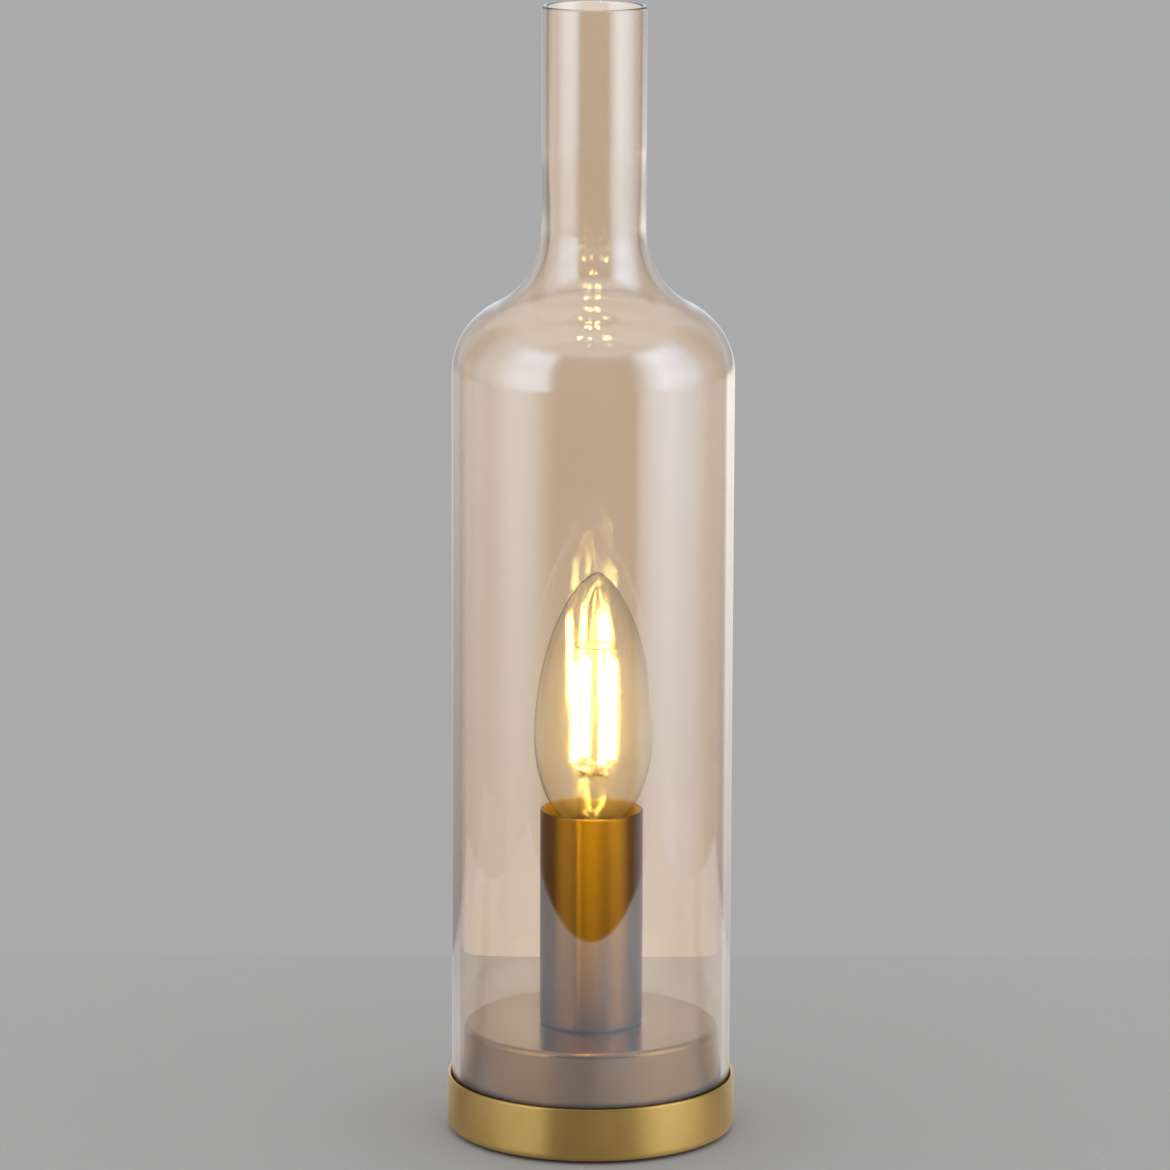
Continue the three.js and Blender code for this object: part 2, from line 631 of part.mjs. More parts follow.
function holderBody() {
  const outline = [
    [0, bodyBottom],
    [holderRadius, bodyBottom],
    [holderRadius, bodyTop],
    [wellRadius, bodyTop],
    [wellRadius, bodyFloor],
    [0, bodyFloor],
  ];
  const drills = [-1, 1].map((side) =>
    drillUp(HOLDER_SCREW_RADIUS + SLIP, 0, side * HOLDER_SCREW_CIRCLE, bodyBottom - SLIP, bodyFloor + SLIP),
  );
  return cut(turned(outline, MEDIUM_SIDES), drills);
}

// Height of the knuckle thread, 0 in the root and 1 on the crest. It is right-handed.
function threadWave(angle, height) {
  return (1 + Math.cos((2 * Math.PI * height) / THREAD_PITCH - angle)) / 2;
}

// Lets the thread rise and run out over one pitch at either end.
function runOut(height, low, high) {
  const rise = THREE.MathUtils.smoothstep(height, low, low + THREAD_PITCH);
  return rise * (1 - THREE.MathUtils.smoothstep(height, high - THREAD_PITCH, high));
}

function threadRings(low, high, radiusAt) {
  const count = Math.round(((high - low) / THREAD_PITCH) * THREAD_STEPS);
  const rings = [];
  for (let i = 0; i <= count; i += 1) {
    const height = low + ((high - low) * i) / count;
    rings.push({ height, radius: (angle) => radiusAt(angle, height) });
  }
  return rings;
}

const plainRing = (radius, height) => ({ height, radius: () => radius });

function threadShell() {
  const bore = (angle, height) =>
    shellBore - THREAD_DEPTH * runOut(height, shellBottom, flangeBottom) * (1 - threadWave(angle, height));
  const outer = [
    plainRing(shellRadius, shellBottom),
    plainRing(shellRadius, flangeBottom),
    plainRing(shellRadius + SHELL_FLANGE_WIDTH, flangeBottom),
    plainRing(shellRadius + SHELL_FLANGE_WIDTH, shellTop),
  ];
  const inner = [...threadRings(shellBottom, flangeBottom, bore), plainRing(shellBore, shellTop)];
  return ringedTube(outer, inner, THREAD_SIDES);
}

// The sprung tongue under the bulb: flat root over its rivet, slope up to a crest on the axis, bent tip.
function centreContact() {
  const rootLow = bodyFloor + SEAT + RIVET_HEIGHT + SLIP;
  const crest = bodyFloor + TONGUE_RISE;
  const root = HOLDER_SCREW_CIRCLE;
  const low = [
    [root + RIVET_RADIUS, rootLow],
    [root - RIVET_RADIUS, rootLow],
    [RIVET_RADIUS, crest - TONGUE_THICKNESS],
    [-RIVET_RADIUS, crest - TONGUE_THICKNESS],
    [-RIVET_RADIUS * 2, crest - TONGUE_THICKNESS * 2],
  ];
  const high = low.map(([y, z]) => [y, z + TONGUE_THICKNESS]).reverse();
  return bentStrip([...low, ...high], TONGUE_WIDTH);
}

// The side contact: foot over its screw, riser to the lower edge of the thread shell.
function sideContact() {
  const foot = bodyFloor + SEAT;
  const outside = -shellRadius;
  const edge = [
    [outside, foot],
    [outside + STRIP_FOOT, foot],
    [outside + STRIP_FOOT, foot + STRIP_THICKNESS],
    [outside + STRIP_THICKNESS, foot + STRIP_THICKNESS],
    [outside + STRIP_THICKNESS, shellBottom - SLIP],
    [outside, shellBottom - SLIP],
  ];
  return bentStrip(edge, STRIP_WIDTH);
}

function makeSocket(lamp) {
  addPiece(lamp, "nipple", nipple(), ZINC_STEEL);
  const washer = [
    [nippleHole, 0],
    [WASHER_RADIUS, 0],
    [WASHER_RADIUS, WASHER_THICKNESS],
    [nippleHole, WASHER_THICKNESS],
  ];
  addPiece(lamp, "base_washer", turned(washer, SMALL_SIDES), ZINC_STEEL, washerBottom);
  addPiece(lamp, "base_nut", hexNut(BASE_NUT_HEIGHT), ZINC_STEEL, baseNutBottom);
  addPiece(lamp, "sleeve_nut", hexNut(SLEEVE_NUT_HEIGHT), ZINC_STEEL, sleeveNutBottom);
  addPiece(lamp, "socket_sleeve", socketSleeve(), SATIN_BRASS);
  addPiece(lamp, "holder_cap", holderCap(), PHENOLIC);
  addPiece(lamp, "holder_body", holderBody(), PHENOLIC);
  addPiece(lamp, "thread_shell", threadShell(), BRIGHT_BRASS);
  addPiece(lamp, "centre_contact", centreContact(), BRIGHT_BRASS);
  addPiece(lamp, "side_contact", sideContact(), BRIGHT_BRASS);
  const rivet = [[0, 0], [RIVET_RADIUS, 0], [RIVET_RADIUS, RIVET_HEIGHT], [0, RIVET_HEIGHT]];
  const rivetPiece = addPiece(lamp, "contact_rivet", turned(rivet, SMALL_SIDES), NICKEL);
  rivetPiece.position.set(0, HOLDER_SCREW_CIRCLE, bodyFloor + SEAT);
  [["live", 1], ["neutral", -1]].forEach(([name, side]) => {
    const length = HOLDER_FLOOR;
    const screw = slottedScrew(HOLDER_HEAD_RADIUS, HOLDER_HEAD_HEIGHT, HOLDER_SCREW_RADIUS, length);
    const bottom = bodyBottom - SEAT - HOLDER_HEAD_HEIGHT;
    addPiece(lamp, `holder_screw_${name}`, screw, NICKEL).position.set(0, side * HOLDER_SCREW_CIRCLE, bottom);
  });
}

// Bulb: screw cap with its contact, insulator and driver, then the glass and what it holds

function bulbCap() {
  const root = THREAD_CREST - THREAD_DEPTH;
  const thread = (angle, height) =>
    root + THREAD_DEPTH * runOut(height, threadBottom, threadTop) * threadWave(angle, height);
  const outer = [
    ...threadRings(threadBottom, threadTop, thread),
    plainRing(root, flareBottom),
    plainRing(capSkirtRadius, skirtBottom),
    plainRing(capSkirtRadius, skirtTop),
  ];
  const inner = [
    plainRing(CAP_BORE, threadBottom),
    plainRing(CAP_BORE, flareBottom),
    plainRing(capSkirtBore, skirtBottom),
    plainRing(capSkirtBore, skirtTop),
  ];
  return ringedTube(outer, inner, THREAD_SIDES);
}

function capContact() {
  const edge = CONTACT_HEIGHT / 2;
  const outline = [
    [0, 0],
    [CONTACT_RADIUS - edge, 0],
    [CONTACT_RADIUS, edge],
    [CONTACT_RADIUS, CONTACT_HEIGHT],
    [0, CONTACT_HEIGHT],
  ];
  return turned(outline, SMALL_SIDES);
}

function capInsulator() {
  const bottom = bulbSeat + CONTACT_HEIGHT + SEAT;
  const plug = CAP_BORE - SLIP;
  const shoulder = threadBottom - SEAT;
  const outline = [
    [0, bottom],
    [INSULATOR_TIP_RADIUS, bottom],
    [CAP_BORE, shoulder],
    [plug, shoulder],
    [plug, threadBottom + INSULATOR_OVERLAP],
    [0, threadBottom + INSULATOR_OVERLAP],
  ];
  return turned(outline, SMALL_SIDES);
}

function bulbDriver() {
  const room = (CAP_BORE - SLIP) * Math.cos(Math.PI / THREAD_SIDES);
  const halfWidth = Math.sqrt(room ** 2 - DRIVER_THICKNESS ** 2);
  const board = new THREE.BoxGeometry(halfWidth * 2, DRIVER_THICKNESS, DRIVER_LENGTH);
  const bottom = threadBottom + INSULATOR_OVERLAP + SEAT;
  return closedSkin(board.translate(0, 0, bottom + DRIVER_LENGTH / 2));
}

// Outline of the candle form from its neck up to the tip on the axis.
function candleOutline(radius, crown, belly, neck) {
  const points = [];
  const start = Math.acos(neck / radius);
  for (let i = 0; i < BELLY_STEPS; i += 1) {
    const angle = start * (1 - i / BELLY_STEPS);
    points.push([radius * Math.cos(angle), bulbWaist - belly * Math.sin(angle)]);
  }
  for (let i = 0; i < CROWN_STEPS; i += 1) {
    const rise = Math.sin((Math.PI / 2) * (i / CROWN_STEPS));
    points.push([radius * (1 - rise ** 2) ** BULB_CROWN_POWER, bulbWaist + crown * rise]);
  }
  points.push([0, bulbWaist + crown]);
  return points;
}

function bulbGlass() {
  const innerNeck = BULB_NECK_RADIUS - BULB_WALL;
  const outer = candleOutline(BULB_RADIUS, BULB_CROWN, BULB_BELLY, BULB_NECK_RADIUS);
  const inner = candleOutline(
    BULB_RADIUS - BULB_WALL,
    BULB_CROWN - BULB_WALL,
    BULB_BELLY - BULB_WALL,
    innerNeck,
  );
  const outline = [
    ...inner.reverse(),
    [innerNeck, glassNeckBottom],
    [BULB_NECK_RADIUS, glassNeckBottom],
    ...outer,
  ];
  return turned(outline, BULB_SIDES);
}

function bulbStem() {
  const flare = BULB_NECK_RADIUS - BULB_WALL - SLIP;
  const outline = [
    [0, glassNeckBottom],
    [flare, glassNeckBottom],
    [flare, glassNeckBottom + STEM_FLARE],
    [STEM_RADIUS, glassNeckBottom + STEM_FLARE + flare - STEM_RADIUS],
    [STEM_RADIUS, stemTop - STEM_ROUND],
    [STEM_RADIUS - STEM_ROUND, stemTop],
    [0, stemTop],
  ];
  return turned(outline, SMALL_SIDES);
}

// A lit stick with a bare wire at either end.
function filament() {
  const outline = [
    [0, filamentBottom - FILAMENT_FOOT],
    [WIRE_RADIUS, filamentBottom - FILAMENT_FOOT],
    [WIRE_RADIUS, filamentBottom],
    [FILAMENT_RADIUS, filamentBottom],
    [FILAMENT_RADIUS, filamentTop],
    [WIRE_RADIUS, filamentTop],
    [WIRE_RADIUS, filamentTop + FILAMENT_TAIL],
    [0, filamentTop + FILAMENT_TAIL],
  ];
  return turned(outline, WIRE_SIDES);
}

// The wire ring that joins the upper filament ends.
function filamentBridge() {
  const height = filamentTop + FILAMENT_TAIL + SLIP + WIRE_RADIUS;
  const ring = new THREE.TorusGeometry(FILAMENT_CIRCLE, WIRE_RADIUS, WIRE_SIDES, MEDIUM_SIDES);
  return closedSkin(ring.translate(0, 0, height));
}

// One lead wire: up the side of the stem, out to the filament circle and along under its two filaments.
function leadWire(firstAngle) {
  const step = (2 * Math.PI) / FILAMENT_COUNT;
  const level = filamentBottom - FILAMENT_FOOT - SLIP - WIRE_RADIUS;
  const root = STEM_RADIUS - STEM_ROUND;
  const spot = (radius, angle, height) =>
    new THREE.Vector3(radius * Math.cos(angle), radius * Math.sin(angle), height);
  const route = [
    spot(root / 2, firstAngle, stemTop + SLIP / 2 + WIRE_RADIUS),
    spot(root, firstAngle, level - WIRE_RISE / 4),
    spot(FILAMENT_CIRCLE, firstAngle, level),
    spot(FILAMENT_CIRCLE, firstAngle + step / 2, level),
    spot(FILAMENT_CIRCLE, firstAngle + step, level),
  ];
  const curve = new THREE.CatmullRomCurve3(route, false, "centripetal");
  return wire(curve, WIRE_RADIUS, WIRE_SIDES, WIRE_STEPS);
}

function makeBulb(lamp) {
  addPiece(lamp, "cap_contact", capContact(), NICKEL, bulbSeat);
  addPiece(lamp, "cap_insulator", capInsulator(), PHENOLIC);
  addPiece(lamp, "bulb_cap", bulbCap(), NICKEL);
  addPiece(lamp, "bulb_driver", bulbDriver(), BOARD);
  const glasswork = new THREE.Group();
  glasswork.position.z = skirtBottom;
  glasswork.rotation.y = BULB_LEAN;
  lamp.add(glasswork);
  addPiece(glasswork, "bulb_glass", bulbGlass(), CLEAR_GLASS, -skirtBottom);
  addPiece(glasswork, "bulb_stem", bulbStem(), CLEAR_GLASS, -skirtBottom);
  addPiece(glasswork, "filament_bridge", filamentBridge(), NICKEL, -skirtBottom);
  for (let i = 0; i < FILAMENT_COUNT; i += 1) {
    const angle = FILAMENT_TURN + (2 * Math.PI * i) / FILAMENT_COUNT;
    const stick = addPiece(glasswork, `filament_${i + 1}`, filament(), LIT_PHOSPHOR);
    stick.position.set(FILAMENT_CIRCLE * Math.cos(angle), FILAMENT_CIRCLE * Math.sin(angle), -skirtBottom);
  }
  addPiece(glasswork, "lead_wire_1", leadWire(FILAMENT_TURN), NICKEL, -skirtBottom);
  addPiece(glasswork, "lead_wire_2", leadWire(FILAMENT_TURN + Math.PI), NICKEL, -skirtBottom);
}

// Glass bottle: straight body, rounded shoulder, flared run into a straight neck, open at both ends.
// It is one blown piece, and its solid is parted where the shoulder turns into the flare.

const shoulderTurn = Math.acos(1 - (GLASS_RADIUS - NECK_RADIUS) / (SHOULDER_RADIUS + NECK_FLARE_RADIUS));
const shoulderDegrees = THREE.MathUtils.radToDeg(shoulderTurn);
const shoulderHeight = glassFoot + SHOULDER_START;
const neckHeight = shoulderHeight + (SHOULDER_RADIUS + NECK_FLARE_RADIUS) * Math.sin(shoulderTurn);

function shoulderWall(depth) {
  const centre = GLASS_RADIUS - SHOULDER_RADIUS;
  return arc(centre, shoulderHeight, SHOULDER_RADIUS - depth, 0, shoulderDegrees, ARC_STEPS);
}

function flareWall(depth) {
  const centre = NECK_RADIUS + NECK_FLARE_RADIUS;
  return arc(centre, neckHeight + SEAT, NECK_FLARE_RADIUS + depth, 180 + shoulderDegrees, 180, ARC_STEPS);
}

function glassBottle() {
  const outline = [
    [glassBore + FOOT_BEVEL, glassFoot],
    [GLASS_RADIUS - FOOT_BEVEL, glassFoot],
    [GLASS_RADIUS, glassFoot + FOOT_BEVEL],
    ...shoulderWall(0),
    ...shoulderWall(GLASS_WALL).reverse(),
    [glassBore, glassFoot + FOOT_BEVEL],
  ];
  return turned(outline, LARGE_SIDES);
}

function glassNeck() {
  const rim = GLASS_WALL / 2;
  const mouth = glassFoot + BOTTLE_HEIGHT;
  const outline = [
    ...flareWall(0),
    ...arc(NECK_RADIUS - rim, mouth - rim, rim, 0, 180, EDGE_STEPS + 1),
    ...flareWall(GLASS_WALL).reverse(),
  ];
  return turned(outline, LARGE_SIDES);
}

const lamp = new THREE.Group();
makeBase(lamp);
makeWiring(lamp);
makeSocket(lamp);
makeBulb(lamp);
addPiece(lamp, "glass_bottle", glassBottle(), LUSTRE_GLASS);
addPiece(lamp, "glass_neck", glassNeck(), LUSTRE_GLASS);

export default lamp;
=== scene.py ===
# %% [markdown]
# # Dressing a bottle table lamp
#
# The lamp is a tinted glass bottle that stands in a low brass ring and covers a brass plinth, a brass socket
# sleeve and a lit candle bulb. Its solids arrive as a fixed frame, grouped into bodies that can move: the
# bottle lifts off and the bulb screws out. The solids have flat facets, so every round piece that shows is
# turned again here from its outline with many more steps, and rides on the body of the solid it stands for.

# %% Load the frame
import json
from math import acos, cos, degrees, hypot, pi, radians, sin

import bmesh
import bpy
from mathutils import Matrix, Vector

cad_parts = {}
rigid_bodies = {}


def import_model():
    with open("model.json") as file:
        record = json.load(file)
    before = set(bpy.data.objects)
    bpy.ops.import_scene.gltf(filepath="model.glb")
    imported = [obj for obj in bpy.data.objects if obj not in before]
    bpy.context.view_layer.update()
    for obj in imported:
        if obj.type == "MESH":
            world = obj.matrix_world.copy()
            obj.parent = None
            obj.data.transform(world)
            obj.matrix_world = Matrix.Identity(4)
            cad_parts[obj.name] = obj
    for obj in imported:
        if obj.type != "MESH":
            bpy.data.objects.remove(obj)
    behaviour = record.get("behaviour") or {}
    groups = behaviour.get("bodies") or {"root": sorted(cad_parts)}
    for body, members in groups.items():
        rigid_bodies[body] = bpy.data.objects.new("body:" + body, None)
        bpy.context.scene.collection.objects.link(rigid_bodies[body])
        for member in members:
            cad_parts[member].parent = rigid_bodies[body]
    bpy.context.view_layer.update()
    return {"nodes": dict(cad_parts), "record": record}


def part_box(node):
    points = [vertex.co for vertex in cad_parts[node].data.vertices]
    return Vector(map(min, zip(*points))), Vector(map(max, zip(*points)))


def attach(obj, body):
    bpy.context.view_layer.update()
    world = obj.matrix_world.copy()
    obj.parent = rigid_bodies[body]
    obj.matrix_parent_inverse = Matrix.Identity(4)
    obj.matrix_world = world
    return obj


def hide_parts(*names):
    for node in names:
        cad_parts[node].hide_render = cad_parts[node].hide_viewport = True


for leftover in list(bpy.data.objects):
    bpy.data.objects.remove(leftover)
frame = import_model()
nodes = frame["nodes"]
MM = 0.001

# %% [markdown]
# ## Camera
#
# A camera could be placed by eye, but the sizes of the lamp are known, so its distance, height and tilt were
# solved from the rows of the photograph where the rims of the ring, plinth, sleeve and mouth appear. A long
# lens from 1.7 m keeps the upright lines nearly parallel. The frame leans by a fifth of a degree.

# %% Place the camera
FILM_WIDTH = 36.0
LENS = 182.84
CAMERA_PLACE = (0.0, -1.7, 0.4984)
CAMERA_TILT = radians(90 - 11.152)
CAMERA_PAN = radians(0.074)
CAMERA_ROLL = radians(0.21)
BOUNCE_LIMIT = 30.0  # the default of 10 would dim the pictures of the lit filaments in the glass
scene = bpy.context.scene
camera_data = bpy.data.cameras.new("camera")
camera_data.sensor_width = FILM_WIDTH
camera_data.lens = LENS
camera = bpy.data.objects.new("camera", camera_data)
scene.collection.objects.link(camera)
camera.matrix_world = (
    Matrix.Translation(CAMERA_PLACE)
    @ Matrix.Rotation(CAMERA_PAN, 4, "Z")
    @ Matrix.Rotation(CAMERA_TILT, 4, "X")
    @ Matrix.Rotation(CAMERA_ROLL, 4, "Z")
)
scene.camera = camera
scene.view_settings.view_transform = "Standard"
scene.cycles.sample_clamp_indirect = BOUNCE_LIMIT
print("camera at", [round(v, 3) for v in camera.location], "lens", camera_data.lens)

# %% [markdown]
# ## Small helpers for materials
#
# A finish is a node tree that ends in the Principled shader. Four helpers are enough for all of them: one turns
# a hex colour, as a paint chart gives it, into the linear numbers that Blender mixes, one sets or links the
# inputs of a node, one adds a node with its settings and inputs in a single call, and one starts a material.

# %% Colour and node helpers
def linear(hex_colour):
    channels = [int(hex_colour[i : i + 2], 16) / 255 for i in (1, 3, 5)]
    return (*[c / 12.92 if c <= 0.04045 else ((c + 0.055) / 1.055) ** 2.4 for c in channels], 1.0)


def connect(tree, node, inputs):
    for name, value in inputs.items():
        open_sockets = [s for i, s in enumerate(node.inputs) if s.enabled and name in (i, s.name)]
        socket = open_sockets[0]
        if isinstance(value, bpy.types.NodeSocket):
            tree.links.new(value, socket)
        else:
            socket.default_value = value
    return node


def add_node(tree, kind, inputs, **settings):
    node = tree.nodes.new(kind)
    for name, value in settings.items():
        setattr(node, name, value)
    return connect(tree, node, inputs)


def start_material(name):
    material = bpy.data.materials.new(name)
    material.use_nodes = True
    return material, material.node_tree, material.node_tree.nodes["Principled BSDF"]


print("white is", linear("#ffffff"), "and mid grey is", [round(v, 3) for v in linear("#808080")])

# %% [markdown]
# ## Satin brass
#
# The ring, plinth and sleeve are brass tube and sheet, turned in a lathe and rubbed with a fine abrasive while
# they spin, so every scratch is a circle round the axis. That smears reflections up and down and leaves soft
# light columns. Noise read from the radius and the height alone makes circles on any turned face. The
# shader's anisotropy, along a tangent that runs round the axis, gives the smear that single scratches are too
# fine to show.

# %% Make the satin brass
SCRATCH_SPACING = 0.35 * MM  # real scratches are nearer 0.05 mm: drawn coarser so that they show
SCRATCH_DEPTH = 0.02 * MM
SCRATCH_BUMP = 0.05
TARNISH_PATCH = 9.0 * MM
ACROSS_SCRATCHES = 0.25  # a quarter turn from the tangent: the smear runs up and down


def turned_brass(name, dark, light, smooth, rough, smear):
    material, tree, shader = start_material(name)
    place = add_node(tree, "ShaderNodeTexCoord", {}).outputs["Object"]
    parts = add_node(tree, "ShaderNodeSeparateXYZ", {"Vector": place}).outputs
    flat = add_node(tree, "ShaderNodeVectorMath", {0: place, 1: (1.0, 1.0, 0.0)}, operation="MULTIPLY").outputs[0]
    radius = add_node(tree, "ShaderNodeVectorMath", {0: flat}, operation="LENGTH").outputs["Value"]
    turned_place = add_node(tree, "ShaderNodeCombineXYZ", {"X": radius, "Y": parts["Z"]}).outputs[0]
    scratches = add_node(
        tree, "ShaderNodeTexNoise", {"Vector": turned_place, "Scale": 1 / SCRATCH_SPACING, "Detail": 3.0}
    ).outputs["Fac"]
    tarnish = add_node(
        tree, "ShaderNodeTexNoise", {"Vector": place, "Scale": 1 / TARNISH_PATCH, "Detail": 4.0}
    ).outputs["Fac"]
    colour = add_node(
        tree, "ShaderNodeMix", {"Factor": tarnish, "A": linear(dark), "B": linear(light)}, data_type="RGBA"
    ).outputs[2]
    roughness = add_node(
        tree, "ShaderNodeMapRange", {"Value": scratches, "To Min": smooth, "To Max": rough}
    ).outputs["Result"]
    bump = add_node(
        tree, "ShaderNodeBump", {"Height": scratches, "Strength": SCRATCH_BUMP, "Distance": SCRATCH_DEPTH}
    ).outputs[0]
    around = add_node(tree, "ShaderNodeTangent", {}, direction_type="RADIAL", axis="Z").outputs[0]
    connect(
        tree,
        shader,
        {
            "Base Color": colour,
            "Metallic": 1.0,
            "Roughness": roughness,
            "Anisotropic": smear,
            "Anisotropic Rotation": ACROSS_SCRATCHES,
            "Tangent": around,
            "Normal": bump,
        },
    )
    print(name, len(tree.nodes), "nodes")
    return material


# the ring: open satin with broad, soft columns of light
satin_brass = turned_brass("satin_brass", "#cfa65d", "#ddb46b", smooth=0.30, rough=0.36, smear=1.0)
# the plinth: rubbed finer, so it mirrors the foot of the sleeve
fine_brass = turned_brass("fine_satin_brass", "#bc9b5e", "#caa96a", smooth=0.19, rough=0.25, smear=0.8)
# the sleeve: a darker, browner tone of brass than the ring
sleeve_brass = turned_brass("dark_satin_brass", "#94723a", "#a07c41", smooth=0.31, rough=0.37, smear=0.93)

# %% [markdown]
# ## Lustre glass
#
# The bottle is blown glass with a champagne tint and a very thin metal oxide film, the lustre, which reflects
# some bluish light and lets warm light through. It could be faked with a half-transparent paint, but then the
# two walls would not show their own reflections. A solid wall with the index of glass and the shader's thin
# film gives the veils, the bright rims and the ghost pictures of the bulb in the rear wall.

# %% Make the lustre glass
BLOWN_WAVE = 38.0 * MM  # slow waviness of blown glass
BLOWN_WAVE_DEPTH = 0.15 * MM
GLASS_IOR = 1.5
FILM_NANOMETRES = 42.0
FILM_IOR = 1.9
lustre_glass, tree, shader = start_material("champagne_lustre_glass")
place = add_node(tree, "ShaderNodeTexCoord", {}).outputs["Object"]
waves = add_node(
    tree, "ShaderNodeTexNoise", {"Vector": place, "Scale": 1 / BLOWN_WAVE, "Detail": 1.0}
).outputs["Fac"]
tint = add_node(
    tree,
    "ShaderNodeMix",
    {"Factor": waves, "A": linear("#ebded0"), "B": linear("#ede2d4")},
    data_type="RGBA",
).outputs[2]
# seen at a glancing angle, light crosses more of the tinted wall
facing = add_node(tree, "ShaderNodeLayerWeight", {"Blend": 0.5}).outputs["Facing"]
glancing = add_node(
    tree,
    "ShaderNodeMapRange",
    {"Value": facing, "From Min": 0.66, "From Max": 0.85},
    interpolation_type="SMOOTHSTEP",
).outputs["Result"]
tint = add_node(
    tree, "ShaderNodeMix", {"Factor": glancing, "A": tint, "B": linear("#d3ab8b")}, data_type="RGBA"
).outputs[2]
bump = add_node(
    tree, "ShaderNodeBump", {"Height": waves, "Strength": 0.15, "Distance": BLOWN_WAVE_DEPTH}
).outputs[0]
connect(
    tree,
    shader,
    {
        "Base Color": tint,
        "Roughness": 0.0,
        "IOR": GLASS_IOR,
        "Transmission Weight": 1.0,
        "Thin Film Thickness": FILM_NANOMETRES,
        "Thin Film IOR": FILM_IOR,
        "Normal": bump,
    },
)
print(lustre_glass.name, len(tree.nodes), "nodes")

# %% [markdown]
# ## Clear glass of the bulb
#
# The candle bulb is thin clear soda glass with no tint of its own. It only shows by its rim and by small
# reflections, so it keeps the index of glass, with a trace of unevenness from the mould. A film of dust scatters
# some of the strong light of the filaments. A low roughness gives the bloom round them. It falls to nearly none
# towards the rim, since any rough skin looks smoother at a glancing angle. A weak warm emission near the height
# of the filaments is a painted glow: it stands in for the light that the whole skin scatters.

# %% Make the clear glass
MOULD_WAVE = 12.0 * MM
MOULD_WAVE_DEPTH = 0.05 * MM
GLOW_HEIGHT = 122 * MM
GLOW_REACH = 42 * MM
GLOW = 0.04
BLOOM = 0.13
RIM_BLOOM = 0.01
clear_glass, tree, shader = start_material("clear_bulb_glass")
place = add_node(tree, "ShaderNodeTexCoord", {}).outputs["Object"]
waves = add_node(tree, "ShaderNodeTexNoise", {"Vector": place, "Scale": 1 / MOULD_WAVE}).outputs["Fac"]
tint = add_node(
    tree,
    "ShaderNodeMix",
    {"Factor": waves, "A": linear("#fbfaf4"), "B": linear("#fffefa")},
    data_type="RGBA",
).outputs[2]
bump = add_node(
    tree, "ShaderNodeBump", {"Height": waves, "Strength": 0.05, "Distance": MOULD_WAVE_DEPTH}
).outputs[0]
height = add_node(tree, "ShaderNodeSeparateXYZ", {"Vector": place}).outputs["Z"]
above_glow = add_node(tree, "ShaderNodeMath", {0: height, 1: GLOW_HEIGHT}, operation="SUBTRACT").outputs[0]
from_glow = add_node(tree, "ShaderNodeMath", {0: above_glow}, operation="ABSOLUTE").outputs[0]
# painted glow: a weak warm emission on the glass, strongest at the height of the filaments, in place of the light
# that the skin scatters
painted_glow = add_node(
    tree,
    "ShaderNodeMapRange",
    {"Value": from_glow, "From Min": GLOW_REACH, "From Max": 0.0, "To Max": GLOW},
    interpolation_type="SMOOTHSTEP",
).outputs["Result"]
facing = add_node(tree, "ShaderNodeLayerWeight", {"Blend": 0.5}).outputs["Facing"]
bloom = add_node(
    tree,
    "ShaderNodeMapRange",
    {"Value": facing, "From Min": 0.08, "From Max": 0.35, "To Min": BLOOM, "To Max": RIM_BLOOM},
).outputs["Result"]
connect(
    tree,
    shader,
    {
        "Base Color": tint,
        "Roughness": bloom,
        "IOR": GLASS_IOR,
        "Transmission Weight": 1.0,
        "Emission Color": linear("#ffda66"),
        "Emission Strength": painted_glow,
        "Normal": bump,
    },
)
print(clear_glass.name, len(tree.nodes), "nodes")

# %% [markdown]
# ## Lit phosphor of the filaments
#
# Each filament is a row of tiny lamps under a yellow phosphor coat. Lit, it is far brighter than anything else
# here and its light has little blue, which is what turns the brass inside the bottle to gold. Emission does
# both. A faint beading along the stick keeps the row of lamps in the coat.

# %% Make the lit phosphor
LAMP_SPACING = 1.2 * MM
LIT_STRENGTH = 90.0
lit_phosphor, tree, shader = start_material("lit_phosphor")
place = add_node(tree, "ShaderNodeTexCoord", {}).outputs["Object"]
beads = add_node(
    tree,
    "ShaderNodeTexWave",
    {"Vector": place, "Scale": 1 / (LAMP_SPACING * 20), "Distortion": 0.0},
    wave_type="BANDS",
    bands_direction="Z",
).outputs["Fac"]
glow = add_node(
    tree,
    "ShaderNodeMix",
    {"Factor": beads, "A": linear("#ffdf80"), "B": linear("#ffe58c")},
    data_type="RGBA",
).outputs[2]
connect(
    tree,
    shader,
    {"Base Color": glow, "Roughness": 0.6, "Emission Color": glow, "Emission Strength": LIT_STRENGTH},
)
print(lit_phosphor.name, len(tree.nodes), "nodes")

# %% [markdown]
# ## Finishes of the inner pieces
#
# Most of the lampholder, wiring and fixings stay hidden, but the bottle can be lifted and the bulb screwed
# out, and the base has an underside. These pieces keep their solids and get plain factory finishes: two
# shades mixed by a noise of the right grain size, with a roughness that varies and a slight bump.

# %% Make the factory finishes
def grained(name, dark, light, grain_mm, roughness, metallic=0.0, bump_strength=0.1):
    material, tree, shader = start_material(name)
    place = add_node(tree, "ShaderNodeTexCoord", {}).outputs["Object"]
    grain = add_node(
        tree, "ShaderNodeTexNoise", {"Vector": place, "Scale": 1 / (grain_mm * MM), "Detail": 4.0}
    ).outputs["Fac"]
    colour = add_node(
        tree, "ShaderNodeMix", {"Factor": grain, "A": linear(dark), "B": linear(light)}, data_type="RGBA"
    ).outputs[2]
    rough = add_node(
        tree,
        "ShaderNodeMapRange",
        {"Value": grain, "To Min": roughness - 0.06, "To Max": roughness + 0.06},
    ).outputs["Result"]
    bump = add_node(
        tree,
        "ShaderNodeBump",
        {"Height": grain, "Strength": bump_strength, "Distance": 0.1 * grain_mm * MM},
    ).outputs[0]
    connect(tree, shader, {"Base Color": colour, "Metallic": metallic, "Roughness": rough, "Normal": bump})
    return material


